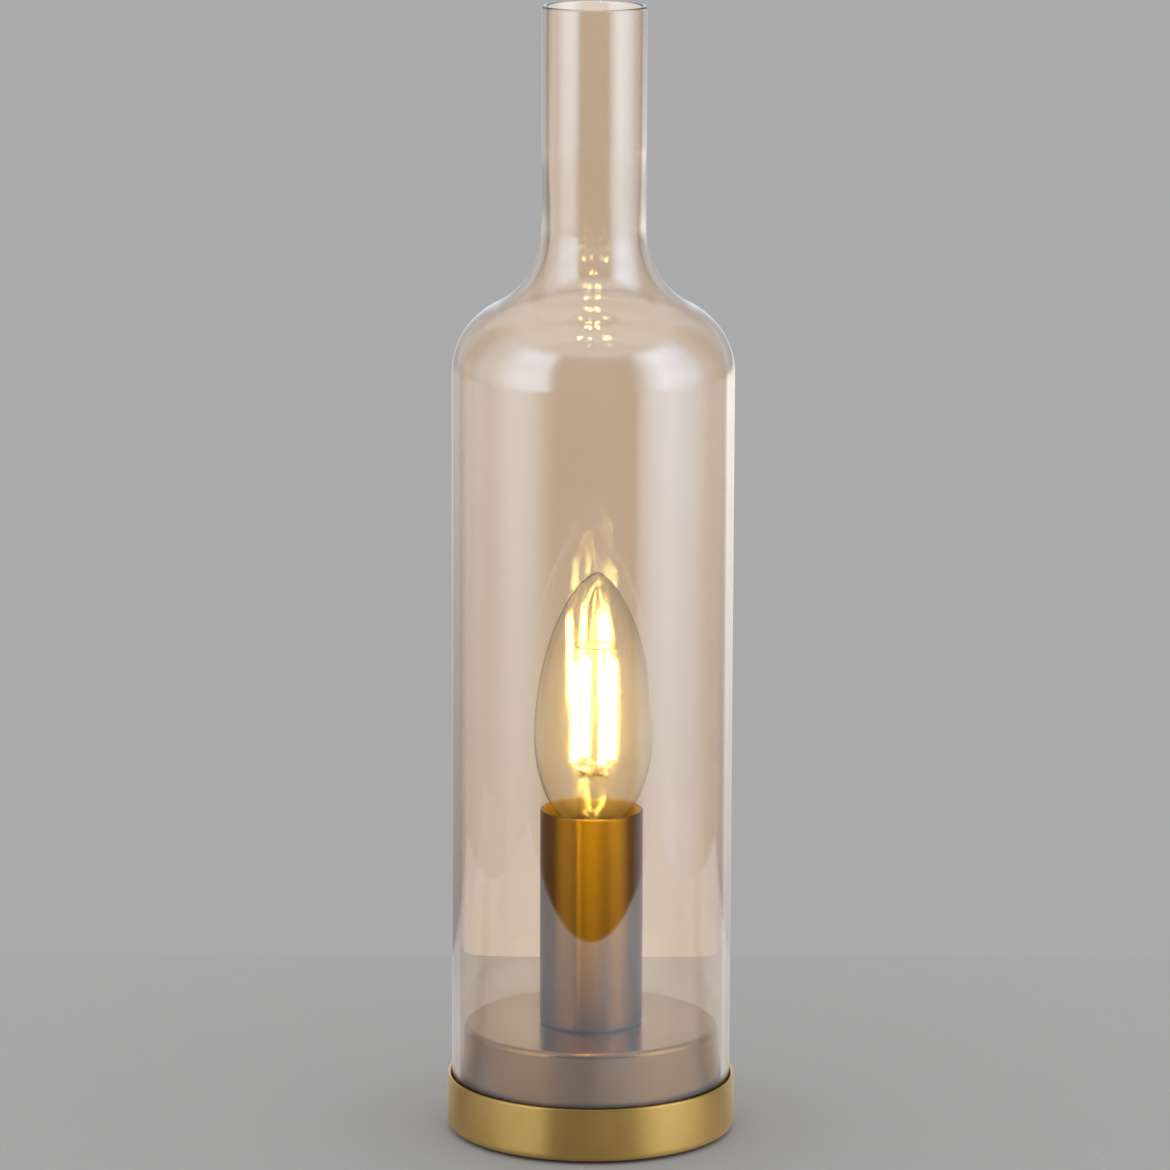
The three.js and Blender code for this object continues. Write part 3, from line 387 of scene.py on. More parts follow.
finishes = {
    # stamped and dipped bright: sharp warm glints
    "bright_brass": grained("stamped_brass", "#b9985a", "#d8ba7c", 1.5, 0.24, metallic=1.0),
    # thin bright plate: pale glints with a yellowish cast
    "nickel": grained("nickel_plate", "#a8a59d", "#c4c1b8", 1.5, 0.26, metallic=1.0),
    # dull plate: a cold, cloudy grey
    "zinc_steel": grained("zinc_plated_steel", "#8f9294", "#b2b4b6", 2.5, 0.38, metallic=1.0),
    # cast in sand: dark and pitted
    "iron": grained("cast_iron", "#2b2b2d", "#46464a", 1.2, 0.7, metallic=0.6, bump_strength=0.5),
    # pressed from powder: dark brown with a dull gloss
    "phenolic": grained("moulded_phenolic", "#241c18", "#33281f", 0.8, 0.5),
    # moulded without colour: milky and half matt
    "nylon": grained("moulded_nylon", "#cfc9b8", "#dfd9ca", 1.0, 0.5),
    # moulded: black, matt and slightly dusty
    "rubber": grained("moulded_rubber", "#171717", "#262626", 0.8, 0.8, bump_strength=0.2),
    # matted fibres: black with no gloss at all
    "felt": grained("pressed_felt", "#1d1a18", "#2f2b28", 0.4, 0.95, bump_strength=0.9),
    # drawn over the wire: smooth, with a soft gloss
    "live_insulation": grained("brown_insulation", "#5e3a22", "#71482c", 1.0, 0.45),
    "neutral_insulation": grained("blue_insulation", "#2a5490", "#3763a6", 1.0, 0.45),
    # varnished white: pale and half matt
    "board": grained("printed_board", "#ddd8c9", "#ece8dc", 0.6, 0.55),
    # as drawn: matt gold without columns of light
    "raw_brass": grained("unpolished_brass", "#a88a42", "#bd9f54", 1.0, 0.6, metallic=1.0),
    "satin_brass": satin_brass,
    "fine_brass": fine_brass,
    "sleeve_brass": sleeve_brass,
    "lustre_glass": lustre_glass,
    "clear_glass": clear_glass,
    "lit_phosphor": lit_phosphor,
}
for subpart in frame["record"]["subparts"]:
    solid = nodes[subpart["node"]]
    solid.data.materials.clear()
    solid.data.materials.append(finishes[subpart["material_slot"]])
print("finishes on the solids:", sorted(finishes))

# %% [markdown]
# ## Turning a piece from its outline
#
# Every round piece of this lamp is made on a lathe, spun from a disc or blown into a turned mould. Blender's
# lathe is bmesh's spin: a closed outline of radius and height, swept once round the axis and merged where it
# meets itself. The smooth look comes from many steps, and edges that turn by more than 30 degrees stay crisp.
# Smooth shading leans the normals of a long face towards its small neighbours, which would turn a glass wall
# into a prism, so every straight stretch first gets a holding point close to each end.

# %% Lathe helpers
def arc(radius, height, bend, start, end, steps):
    angles = [radians(start + (end - start) * i / steps) for i in range(steps + 1)]
    return [(radius + bend * cos(a), height + bend * sin(a)) for a in angles]


HOLD = 0.15
SHORTEST_HELD = 8 * HOLD
WELD = 0.0005 * MM
CREASE = radians(30)


def hold_straights(outline, closed):
    held = []
    ends = outline[1:] + outline[:1] if closed else outline[1:]
    for start, end in zip(outline, ends):
        length = hypot(end[0] - start[0], end[1] - start[1])
        held.append(start)
        if length > SHORTEST_HELD:
            for t in (HOLD / length, 1 - HOLD / length):
                held.append((start[0] + (end[0] - start[0]) * t, start[1] + (end[1] - start[1]) * t))
    return held if closed else [*held, outline[-1]]


def spin_outline(outline, steps):
    closed = outline[0][0] > 0 or outline[-1][0] > 0
    mesh = bmesh.new()
    corners = [mesh.verts.new((r * MM, 0.0, z * MM)) for r, z in hold_straights(outline, closed)]
    pairs = list(zip(corners, corners[1:] + corners[:1] if closed else corners[1:]))
    edges = [mesh.edges.new(pair) for pair in pairs]
    bmesh.ops.spin(
        mesh, geom=corners + edges, cent=(0, 0, 0), axis=(0, 0, 1), angle=2 * pi, steps=steps, use_merge=True
    )
    bmesh.ops.remove_doubles(mesh, verts=mesh.verts, dist=WELD)
    bmesh.ops.recalc_face_normals(mesh, faces=mesh.faces)
    return mesh


def to_object(mesh, name):
    data = bpy.data.meshes.new(name)
    mesh.to_mesh(data)
    mesh.free()
    made = bpy.data.objects.new(name, data)
    scene.collection.objects.link(made)
    return made


def finish_piece(mesh, name, slot, body, *stands_for, finish=None):
    for edge in mesh.edges:
        edge.smooth = len(edge.link_faces) == 2 and edge.calc_face_angle() < CREASE
    for face in mesh.faces:
        face.smooth = True
    piece = to_object(mesh, name)
    piece.data.materials.append(finishes[finish or slot])
    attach(piece, body)
    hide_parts(*stands_for)
    print(name, "faces", len(piece.data.polygons), "size in mm", [round(v / MM, 1) for v in piece.dimensions])
    return piece


def add_finish(piece, finish, takes_it):
    piece.data.materials.append(finishes[finish])
    for face in piece.data.polygons:
        face.material_index = 1 if takes_it(face.center) else 0


LARGE_STEPS = 192
SMALL_STEPS = 96

# %% [markdown]
# ## Base ring
#
# The ring is a low cup: a rounded foot, a straight wall, a thin rolled lip beside the glass, and a floor that
# carries the plinth. The bush for the mains lead goes through the wall at the back, so a drill is taken out of
# the turned ring with a Boolean, which is applied at once.

# %% Turn the base ring
ring_low, ring_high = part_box("base_ring")
RING_RADIUS = ring_high.x / MM
RING_FOOT = ring_low.z / MM
RING_TOP = ring_high.z / MM
RING_LIP = 1.15
RING_SKIRT = 2.5
RING_FOOT_ROUND = 2.2
RING_FLOOR_TOP = RING_TOP - 5.0
RING_FLOOR = 1.4
NIPPLE_HOLE = 5.3
lip_round = RING_LIP / 2
ring_outline = [
    (RING_RADIUS - RING_SKIRT, RING_FOOT),
    *arc(RING_RADIUS - RING_FOOT_ROUND, RING_FOOT + RING_FOOT_ROUND, RING_FOOT_ROUND, -90, 0, steps=12),
    *arc(RING_RADIUS - lip_round, RING_TOP - lip_round, lip_round, 0, 180, steps=14),
    (RING_RADIUS - RING_LIP, RING_FLOOR_TOP),
    (NIPPLE_HOLE, RING_FLOOR_TOP),
    (NIPPLE_HOLE, RING_FLOOR_TOP - RING_FLOOR),
    (RING_RADIUS - RING_SKIRT, RING_FLOOR_TOP - RING_FLOOR),
]
ring_mesh = spin_outline(ring_outline, LARGE_STEPS)
ring = finish_piece(ring_mesh, "turned_base_ring", "satin_brass", "lamp", "base_ring")

# %% Drill the ring for the bush
BUSH_HOLE = 3.1 * MM
DRILL_LENGTH = 12 * MM
bush_low, bush_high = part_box("cord_bush")
bush_level = (bush_low.z + bush_high.z) / 2
drill_mesh = bmesh.new()
bmesh.ops.create_cone(
    drill_mesh, cap_ends=True, segments=48, radius1=BUSH_HOLE, radius2=BUSH_HOLE, depth=DRILL_LENGTH
)
bmesh.ops.rotate(drill_mesh, verts=drill_mesh.verts, cent=(0, 0, 0), matrix=Matrix.Rotation(pi / 2, 3, "X"))
bmesh.ops.translate(drill_mesh, verts=drill_mesh.verts, vec=(0, ring_high.y, bush_level))
drill = to_object(drill_mesh, "drill")
hole = ring.modifiers.new("bush_hole", "BOOLEAN")
hole.object = drill
hole.operation = "DIFFERENCE"
hole.solver = "EXACT"
bpy.context.view_layer.update()
drilled = bpy.data.meshes.new_from_object(ring.evaluated_get(bpy.context.evaluated_depsgraph_get()))
ring.modifiers.clear()
ring.data = drilled
bpy.data.objects.remove(drill)
print("drilled ring faces", len(drilled.polygons))

# %% [markdown]
# ## Plinth
#
# Inside the glass stands a shallow brass drum with a softly rounded upper edge, which catches a thin bright
# line. It is spun from sheet, so the outline follows both sides of a thin wall.

# %% Turn the plinth
plinth_low, plinth_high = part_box("pedestal")
PLINTH_RADIUS = plinth_high.x / MM
PLINTH_FOOT = plinth_low.z / MM
PLINTH_TOP = plinth_high.z / MM
PLINTH_TAPER = 0.7
PLINTH_WALL = 1.2
PLINTH_EDGE = 1.6
edge_radius = PLINTH_RADIUS - PLINTH_TAPER - PLINTH_EDGE
plinth_outline = [
    (PLINTH_RADIUS, PLINTH_FOOT),
    *arc(edge_radius, PLINTH_TOP - PLINTH_EDGE, PLINTH_EDGE, 0, 90, steps=16),
    (NIPPLE_HOLE, PLINTH_TOP),
    (NIPPLE_HOLE, PLINTH_TOP - PLINTH_WALL),
    (edge_radius, PLINTH_TOP - PLINTH_WALL),
    (PLINTH_RADIUS - PLINTH_WALL, PLINTH_FOOT),
]
plinth_mesh = spin_outline(plinth_outline, LARGE_STEPS)
finish_piece(plinth_mesh, "turned_plinth", "satin_brass", "lamp", "pedestal", finish="fine_brass")

# %% [markdown]
# ## Socket sleeve
#
# A brass tube hides the lampholder. Its foot is rounded where it meets the plinth, which leaves a dark line,
# and its rim is polished round. The bore stays as the tube was drawn, unpolished, so its faces get a second
# material by their distance from the axis.

# %% Turn the sleeve
sleeve_low, sleeve_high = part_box("socket_sleeve")
SLEEVE_RADIUS = sleeve_high.x / MM
SLEEVE_FOOT = sleeve_low.z / MM
SLEEVE_TOP = sleeve_high.z / MM
SLEEVE_WALL = 0.9
SLEEVE_FLOOR = 1.2
SLEEVE_FOOT_ROUND = 1.2
rim = SLEEVE_WALL / 2
sleeve_outline = [
    (NIPPLE_HOLE, SLEEVE_FOOT),
    *arc(SLEEVE_RADIUS - SLEEVE_FOOT_ROUND, SLEEVE_FOOT + SLEEVE_FOOT_ROUND, SLEEVE_FOOT_ROUND, -90, 0, steps=10),
    *arc(SLEEVE_RADIUS - rim, SLEEVE_TOP - rim, rim, 0, 180, steps=12),
    (SLEEVE_RADIUS - SLEEVE_WALL, SLEEVE_FOOT + SLEEVE_FLOOR),
    (NIPPLE_HOLE, SLEEVE_FOOT + SLEEVE_FLOOR),
]
sleeve_mesh = spin_outline(sleeve_outline, SMALL_STEPS)
sleeve = finish_piece(
    sleeve_mesh, "turned_sleeve", "satin_brass", "lamp", "socket_sleeve", finish="sleeve_brass"
)
bore_edge = SLEEVE_RADIUS - SLEEVE_WALL + 0.1
add_finish(sleeve, "raw_brass", lambda spot: hypot(spot.x, spot.y) / MM < bore_edge)

# %% [markdown]
# ## Glass bottle
#
# The bottle is blown into a mould, cut off and fire-polished, so its mouth is round and its foot has a small
# ground bevel. The shoulder is two arcs that run into each other without a corner. The inner wall follows the
# outer one at an even distance and comes closer in the neck, where the glass was drawn out thinner. Both are
# one closed skin, so light is bent at both sides of the wall.

# %% Blow the bottle
bottle_low, bottle_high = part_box("glass_bottle")
GLASS_RADIUS = bottle_high.x / MM
GLASS_FOOT = bottle_low.z / MM
GLASS_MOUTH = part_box("glass_neck")[1].z / MM
GLASS_WALL = 2.2
NECK_WALL = 1.5
NECK_TAPER = 25.0
SHOULDER_START = 212.8
SHOULDER_BEND = 22.0
NECK_BEND = 24.1
NECK_RADIUS = 15.1
FOOT_BEVEL = 0.5
SHOULDER_STEPS = 28
TAPER_STEPS = 24
shoulder_turn = acos(1 - (GLASS_RADIUS - NECK_RADIUS) / (SHOULDER_BEND + NECK_BEND))
shoulder_height = GLASS_FOOT + SHOULDER_START
neck_height = shoulder_height + (SHOULDER_BEND + NECK_BEND) * sin(shoulder_turn)


def bottle_wall(depth):
    turn = degrees(shoulder_turn)
    shoulder = arc(GLASS_RADIUS - SHOULDER_BEND, shoulder_height, SHOULDER_BEND - depth, 0, turn, SHOULDER_STEPS)
    flare = arc(NECK_RADIUS + NECK_BEND, neck_height, NECK_BEND + depth, 180 + turn, 180, SHOULDER_STEPS)
    return shoulder + flare[1:]


neck_taper = []
for t in [i / TAPER_STEPS for i in range(TAPER_STEPS)]:
    thicker = (GLASS_WALL - NECK_WALL) * t * t * (3 - 2 * t)
    neck_taper.append((NECK_RADIUS - NECK_WALL - thicker, neck_height + NECK_TAPER * (1 - t)))
glass_bore = GLASS_RADIUS - GLASS_WALL
mouth_round = NECK_WALL / 2
bottle_outline = [
    *arc(GLASS_RADIUS - FOOT_BEVEL, GLASS_FOOT + FOOT_BEVEL, FOOT_BEVEL, -90, 0, steps=5),
    *bottle_wall(0.0),
    *arc(NECK_RADIUS - mouth_round, GLASS_MOUTH - mouth_round, mouth_round, 0, 180, steps=14),
    *neck_taper,
    *reversed(bottle_wall(GLASS_WALL)),
    *arc(glass_bore + FOOT_BEVEL, GLASS_FOOT + FOOT_BEVEL, FOOT_BEVEL, 180, 270, steps=5),
]
bottle_mesh = spin_outline(bottle_outline, LARGE_STEPS)
finish_piece(bottle_mesh, "blown_bottle", "lustre_glass", "bottle", "glass_bottle", "glass_neck")

# %% [markdown]
# ## Bulb glass and stem
#
# The candle envelope is a flame form: half an ellipse below its widest plane and a fuller curve above. It sits
# a degree crooked on its cap, as cemented bulbs do, so the glass and all that it holds are turned together
# about the top of the cap. The stem is the solid foot inside, with a flare that is melted to the envelope.

# %% Blow the bulb
cap_low, cap_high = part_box("bulb_cap")
BULB_RADIUS = 17.5
BULB_WALL = 0.35
BULB_CROWN = 48.0
BULB_BELLY = 30.0
BULB_NECK = 7.9
CROWN_POWER = 0.66
CAP_SKIRT = 2.1
BULB_LEAN = radians(1.0)
GLASS_GAP = 0.3
BELLY_STEPS = 24
CROWN_STEPS = 40
SKIRT_FOOT = cap_high.z / MM - CAP_SKIRT
NECK_FOOT = SKIRT_FOOT + GLASS_GAP
NECK_TOP = cap_high.z / MM + GLASS_GAP
bulb_waist = NECK_TOP + BULB_BELLY * sin(acos(BULB_NECK / BULB_RADIUS))
lean = (
    Matrix.Translation((0, 0, SKIRT_FOOT * MM))
    @ Matrix.Rotation(BULB_LEAN, 4, "Y")
    @ Matrix.Translation((0, 0, -SKIRT_FOOT * MM))
)


def candle_wall(depth):
    radius, crown, belly = BULB_RADIUS - depth, BULB_CROWN - depth, BULB_BELLY - depth
    start = acos((BULB_NECK - depth) / radius)
    turns = [start * (1 - i / BELLY_STEPS) for i in range(BELLY_STEPS)]
    lower = [(radius * cos(a), bulb_waist - belly * sin(a)) for a in turns]
    rises = [sin(pi / 2 * i / CROWN_STEPS) for i in range(CROWN_STEPS)]
    upper = [(radius * (1 - t * t) ** CROWN_POWER, bulb_waist + crown * t) for t in rises]
    return [*lower, *upper, (0.0, bulb_waist + crown)]


bulb_outline = [
    *reversed(candle_wall(BULB_WALL)),
    (BULB_NECK - BULB_WALL, NECK_FOOT),
    (BULB_NECK, NECK_FOOT),
    *candle_wall(0.0),
]
bulb_mesh = spin_outline(bulb_outline, SMALL_STEPS)
bmesh.ops.transform(bulb_mesh, matrix=lean, verts=bulb_mesh.verts)
finish_piece(bulb_mesh, "blown_bulb", "clear_glass", "bulb", "bulb_glass")

# %% Melt the stem
STEM_RADIUS = 4.2
STEM_TOP = NECK_FOOT + 17.5
STEM_FLARE = 6.8
STEM_ROUND = 2.0
FLARE_EDGE = NECK_FOOT + 0.9
flare_bend = STEM_FLARE - STEM_RADIUS
stem_outline = [
    (0.0, NECK_FOOT),
    (STEM_FLARE, NECK_FOOT),
    (STEM_FLARE, FLARE_EDGE),
    *arc(STEM_FLARE, FLARE_EDGE + flare_bend, flare_bend, 270, 180, steps=10)[1:],
    *arc(STEM_RADIUS - STEM_ROUND, STEM_TOP - STEM_ROUND, STEM_ROUND, 0, 90, steps=8),
    (0.0, STEM_TOP),
]
stem_mesh = spin_outline(stem_outline, steps=48)
bmesh.ops.transform(stem_mesh, matrix=lean, verts=stem_mesh.verts)
finish_piece(stem_mesh, "melted_stem", "clear_glass", "bulb", "bulb_stem")

# %% [markdown]
# ## Filaments
#
# Four lit sticks stand round the axis of the bulb, each with a bare wire at either end and a wire ring that
# joins them at the top. Each stick is a thin turned rod with rounded ends, moved to its place on the circle
# and leaned with the bulb.

# %% Make the filaments
FILAMENT_CIRCLE = 6.0
FILAMENT_TURN = 25.0
FILAMENT_RADIUS = 0.9
FILAMENT_FOOT = STEM_TOP + 3.3
FILAMENT_TOP = FILAMENT_FOOT + 29.0
FILAMENT_ROUND = 0.4
WIRE = 0.3
WIRE_FOOT = FILAMENT_FOOT - 1.5
WIRE_TOP = FILAMENT_TOP + 4.6
round_centre = FILAMENT_RADIUS - FILAMENT_ROUND
stick_outline = [
    (0.0, WIRE_FOOT),
    (WIRE, WIRE_FOOT),
    (WIRE, FILAMENT_FOOT),
    *arc(round_centre, FILAMENT_FOOT + FILAMENT_ROUND, FILAMENT_ROUND, -90, 0, steps=4),
    *arc(round_centre, FILAMENT_TOP - FILAMENT_ROUND, FILAMENT_ROUND, 0, 90, steps=4),
    (WIRE, FILAMENT_TOP),
    (WIRE, WIRE_TOP),
    (0.0, WIRE_TOP),
]


def is_bare_wire(spot):
    return not FILAMENT_FOOT - 0.2 < spot.z / MM < FILAMENT_TOP + 0.2


for i in range(4):
    angle = radians(FILAMENT_TURN + 90 * i)
    stick = spin_outline(stick_outline, steps=24)
    spot = (FILAMENT_CIRCLE * MM * cos(angle), FILAMENT_CIRCLE * MM * sin(angle), 0)
    bmesh.ops.translate(stick, verts=stick.verts, vec=spot)
    bmesh.ops.transform(stick, matrix=lean, verts=stick.verts)
    piece = finish_piece(stick, f"lit_stick_{i + 1}", "lit_phosphor", "bulb", f"filament_{i + 1}")
    add_finish(piece, "nickel", is_bare_wire)

# %% Bend the wire ring
RING_GAP = 0.3
ring_height = WIRE_TOP + RING_GAP + WIRE
wire_ring = bmesh.new()
section = bmesh.ops.create_circle(wire_ring, segments=12, radius=WIRE * MM)["verts"]
bmesh.ops.rotate(wire_ring, verts=section, cent=(0, 0, 0), matrix=Matrix.Rotation(pi / 2, 3, "X"))
bmesh.ops.translate(wire_ring, verts=section, vec=(FILAMENT_CIRCLE * MM, 0, ring_height * MM))
bmesh.ops.spin(
    wire_ring,
    geom=wire_ring.verts[:] + wire_ring.edges[:],
    cent=(0, 0, 0),
    axis=(0, 0, 1),
    angle=2 * pi,
    steps=64,
    use_merge=True,
)
bmesh.ops.remove_doubles(wire_ring, verts=wire_ring.verts, dist=WELD)
bmesh.ops.recalc_face_normals(wire_ring, faces=wire_ring.faces)
bmesh.ops.transform(wire_ring, matrix=lean, verts=wire_ring.verts)
finish_piece(wire_ring, "bent_wire_ring", "nickel", "bulb", "filament_bridge")

# %% [markdown]
# ## Screw cap
#
# The cap is rolled from thin nickelled sheet: a round-bottomed thread below and a plain skirt that holds the
# glass. A plain tube with many rings is spun first, and then each point of its outer side is moved in or out
# by the wave of the thread, which climbs one pitch in a turn and fades out at both ends.

# %% Roll the cap
THREAD_PITCH = 2.822
THREAD_CREST = 6.9
THREAD_DEPTH = 0.75
THREAD_TURNS = 5
THREAD_RINGS = 80
THREAD_FOOT = cap_low.z / MM
THREAD_TOP = THREAD_FOOT + THREAD_TURNS * THREAD_PITCH
CAP_BORE = 5.5
CAP_EDGE = 0.2
CAP_TOP = cap_high.z / MM
SKIRT_RADIUS = cap_high.x / MM
SKIRT_BORE = BULB_NECK + GLASS_GAP
FLARE_FOOT = SKIRT_FOOT - 1.1
thread_root = THREAD_CREST - THREAD_DEPTH
rings = [THREAD_FOOT + (THREAD_TOP - THREAD_FOOT) * i / THREAD_RINGS for i in range(THREAD_RINGS + 1)]
cap_outline = [
    *[(thread_root, z) for z in rings],
    (thread_root, FLARE_FOOT),
    (SKIRT_RADIUS, SKIRT_FOOT),
    *arc(SKIRT_RADIUS - CAP_EDGE, CAP_TOP - CAP_EDGE, CAP_EDGE, 0, 90, steps=4),
    (SKIRT_BORE, CAP_TOP),
    (SKIRT_BORE, SKIRT_FOOT),
    (CAP_BORE, FLARE_FOOT),
    (CAP_BORE, THREAD_FOOT),
]
cap = spin_outline(cap_outline, SMALL_STEPS)


def fade(value, low, high):
    t = min(max((value - low) / (high - low), 0.0), 1.0)
    return t * t * (3 - 2 * t)


for vert in cap.verts:
    flat = Vector((vert.co.x, vert.co.y))
    height = vert.co.z / MM
    if abs(flat.length / MM - thread_root) < 0.01 and height <= THREAD_TOP:
        turn = Vector((1.0, 0.0)).angle_signed(flat)
        wave = (1 + cos(2 * pi * height / THREAD_PITCH + turn)) / 2
        ends = fade(height, THREAD_FOOT, THREAD_FOOT + THREAD_PITCH)
        ends *= 1 - fade(height, THREAD_TOP - THREAD_PITCH, THREAD_TOP)
        grown = (thread_root + THREAD_DEPTH * wave * ends) * MM / flat.length
        vert.co.x *= grown
        vert.co.y *= grown
cap_piece = finish_piece(cap, "rolled_cap", "nickel", "bulb", "bulb_cap")

# %% [markdown]
# ## Cord bush
#
# A small rubber bush lines the hole at the back of the ring: a rib inside, a body through the wall and a
# rounded flange outside. It is turned about the upright axis and then laid down along the depth of the lamp.

# %% Turn the bush
BUSH_BORE = 1.9
BUSH_BODY = 2.8
BUSH_RIB = 3.2
BUSH_FLANGE = 4.1
BUSH_LIP = 1.5
FLANGE_ROUND = 0.8
BORE_ROUND = 0.5
bush_inner = bush_low.y / MM
bush_outer = bush_high.y / MM
bush_outline = [
    (BUSH_BORE, bush_inner),
    (BUSH_RIB, bush_inner),
    (BUSH_RIB, bush_inner + BUSH_LIP),
    (BUSH_BODY, bush_inner + BUSH_LIP),
    (BUSH_BODY, bush_outer - BUSH_LIP),
    (BUSH_FLANGE, bush_outer - BUSH_LIP),
    *arc(BUSH_FLANGE - FLANGE_ROUND, bush_outer - FLANGE_ROUND, FLANGE_ROUND, 0, 90, steps=6),
    *arc(BUSH_BORE + BORE_ROUND, bush_outer - BORE_ROUND, BORE_ROUND, 90, 180, steps=5),
]
bush = spin_outline(bush_outline, steps=64)
bmesh.ops.rotate(bush, verts=bush.verts, cent=(0, 0, 0), matrix=Matrix.Rotation(-pi / 2, 3, "X"))
bmesh.ops.translate(bush, verts=bush.verts, vec=(0, 0, bush_level))
finish_piece(bush, "turned_bush", "rubber", "lamp", "cord_bush")

# %% [markdown]
# ## Table and studio
#
# The lamp stands on a plain pale table top in a soft studio. Polished brass and glass show what stands round
# them, so the studio matters more than any lamp: white cloth at both sides, an open dark front where the camera
# stands, and a white wall behind. All of it is painted in the world by direction. The table is a sheet of pale
# paper with light and shade painted into its colour: painted light on the right, near the window, and in a pool
# behind the lamp, and painted shade down the middle and in a band across the foot of the lamp, so its shade is
# graded from side to side and in depth. The light path keeps the plain grey ground for what the camera sees
# directly.

# %% Lay the table top
TABLE_FRONT = -0.2965
TABLE_BACK = 0.197
TABLE_SIDE = 0.36
table_mesh = bmesh.new()
bmesh.ops.create_grid(table_mesh, x_segments=1, y_segments=1, size=1.0)
bmesh.ops.scale(table_mesh, verts=table_mesh.verts, vec=(TABLE_SIDE, (TABLE_BACK - TABLE_FRONT) / 2, 1.0))
bmesh.ops.translate(table_mesh, verts=table_mesh.verts, vec=(0, (TABLE_BACK + TABLE_FRONT) / 2, 0))
table_top = to_object(table_mesh, "table_top")
print("table top in mm", [round(v / MM) for v in table_top.dimensions])

# %% Set the light on the paper
def set_levels(ramp, levels):
    ramp.elements.remove(ramp.elements[1])
    ramp.elements[0].position = levels[0][0]
    for spot, level, tint in levels[1:]:
        ramp.elements.new(spot)
    for element, (spot, level, tint) in zip(ramp.elements, levels):
        element.color = (*[level * channel for channel in tint], 1.0)


GROUND = linear("#aaaaaa")
PAPER_REACH = 0.25
POOL_CENTRE = (0.0, 0.12, 0.0)  # a pool of light on the paper behind the lamp
POOL_EDGE = 0.13
POOL_CORE = 0.06
PLAIN = (1.0, 1.0, 1.0)
PAPER_WHITE = (0.98, 1.0, 1.03)
# position 0 is the left end of the paper, 0.5 is under the lamp and 1 is the right end, nearer the window
PAPER_LEVELS = [
    (0.00, 0.52, PAPER_WHITE),
    (0.14, 0.55, PAPER_WHITE),
    (0.28, 0.58, PAPER_WHITE),
    (0.38, 0.50, PAPER_WHITE),
    (0.49, 0.45, PAPER_WHITE),
    (0.54, 0.60, PAPER_WHITE),
    (0.60, 0.72, PAPER_WHITE),
    (0.70, 0.76, PAPER_WHITE),
    (0.86, 0.78, PAPER_WHITE),
    (1.00, 0.68, PAPER_WHITE),
]
# position 0 is the front of the paper and 1 is behind the lamp; the dip from 0.48 to 0.60 is painted shade in a
# band across the foot of the lamp
DEPTH_LEVELS = [
    (0.08, 1.10, PLAIN),
    (0.26, 1.05, PLAIN),
    (0.44, 1.05, PLAIN),
    (0.48, 1.00, PLAIN),
    (0.51, 0.70, PLAIN),
    (0.55, 0.70, PLAIN),
    (0.60, 1.00, PLAIN),
]
print("paper graded with", len(PAPER_LEVELS), "levels across and", len(DEPTH_LEVELS), "in depth")

# %% Make the paper
paper, tree, shader = start_material("pale_paper")
seen = add_node(tree, "ShaderNodeLightPath", {}).outputs["Is Camera Ray"]
paper_place = add_node(tree, "ShaderNodeTexCoord", {}).outputs["Object"]
from_pool = add_node(
    tree, "ShaderNodeVectorMath", {0: paper_place, 1: POOL_CENTRE}, operation="DISTANCE"
).outputs["Value"]
in_pool = add_node(
    tree, "ShaderNodeMapRange", {"Value": from_pool, "From Min": POOL_EDGE, "From Max": POOL_CORE}
).outputs["Result"]
paper_parts = add_node(tree, "ShaderNodeSeparateXYZ", {"Vector": paper_place}).outputs
graded = []
for side, levels in (("X", PAPER_LEVELS), ("Y", DEPTH_LEVELS)):
    spread = add_node(
        tree,
        "ShaderNodeMapRange",
        {"Value": paper_parts[side], "From Min": -PAPER_REACH, "From Max": PAPER_REACH},
    ).outputs["Result"]
    ramp = add_node(tree, "ShaderNodeValToRGB", {"Fac": spread})
    set_levels(ramp.color_ramp, levels)
    graded.append(ramp.outputs["Color"])
# the paper's colour carries painted light and painted shade, graded across and in depth
open_paper = add_node(
    tree, "ShaderNodeVectorMath", {0: graded[0], 1: graded[1]}, operation="MULTIPLY"
).outputs[0]
lit_paper = add_node(
    tree,
    "ShaderNodeMix",
    {"Factor": in_pool, "A": open_paper, "B": linear("#dee1e4")},
    data_type="RGBA",
).outputs[2]
paper_colour = add_node(
    tree, "ShaderNodeMix", {"Factor": seen, "A": lit_paper, "B": GROUND}, data_type="RGBA"
).outputs[2]
connect(tree, shader, {"Base Color": paper_colour, "Roughness": 1.0, "Specular IOR Level": 0.0})
table_top.data.materials.append(paper)
print(paper.name, len(tree.nodes), "nodes")

# %% Set the light of the studio
COOL = (0.86, 1.0, 1.16)  # daylight on the side cloths is a little bluer than the backdrop
COLD = (0.88, 1.0, 1.22)  # window light high on the wall behind
# bearing 0.25 is the camera's side, 0.5 is +X, 0.75 is behind the lamp and 0 or 1 is -X
LOW_LEVELS = [
    (0.000, 0.48, COOL),
    (0.056, 0.80, COOL),
    (0.108, 0.54, COOL),
    (0.145, 0.05, COOL),
    (0.160, 0.02, COOL),
    (0.345, 0.02, COOL),
    (0.362, 0.65, COOL),
    (0.389, 1.05, COOL),
    (0.439, 1.42, COOL),
    (0.497, 1.05, COOL),
    (0.550, 0.50, PLAIN),
    (0.600, 0.48, PLAIN),
    (0.635, 0.65, PLAIN),
    (0.661, 1.20, PLAIN),
    (0.735, 1.20, PLAIN),
    (0.760, 0.90, PLAIN),
    (0.800, 0.64, PLAIN),
    (0.840, 0.62, PLAIN),
    (0.860, 0.50, PLAIN),
    (0.889, 0.38, PLAIN),
    (0.944, 0.58, COOL),
    (1.000, 0.48, COOL),
]
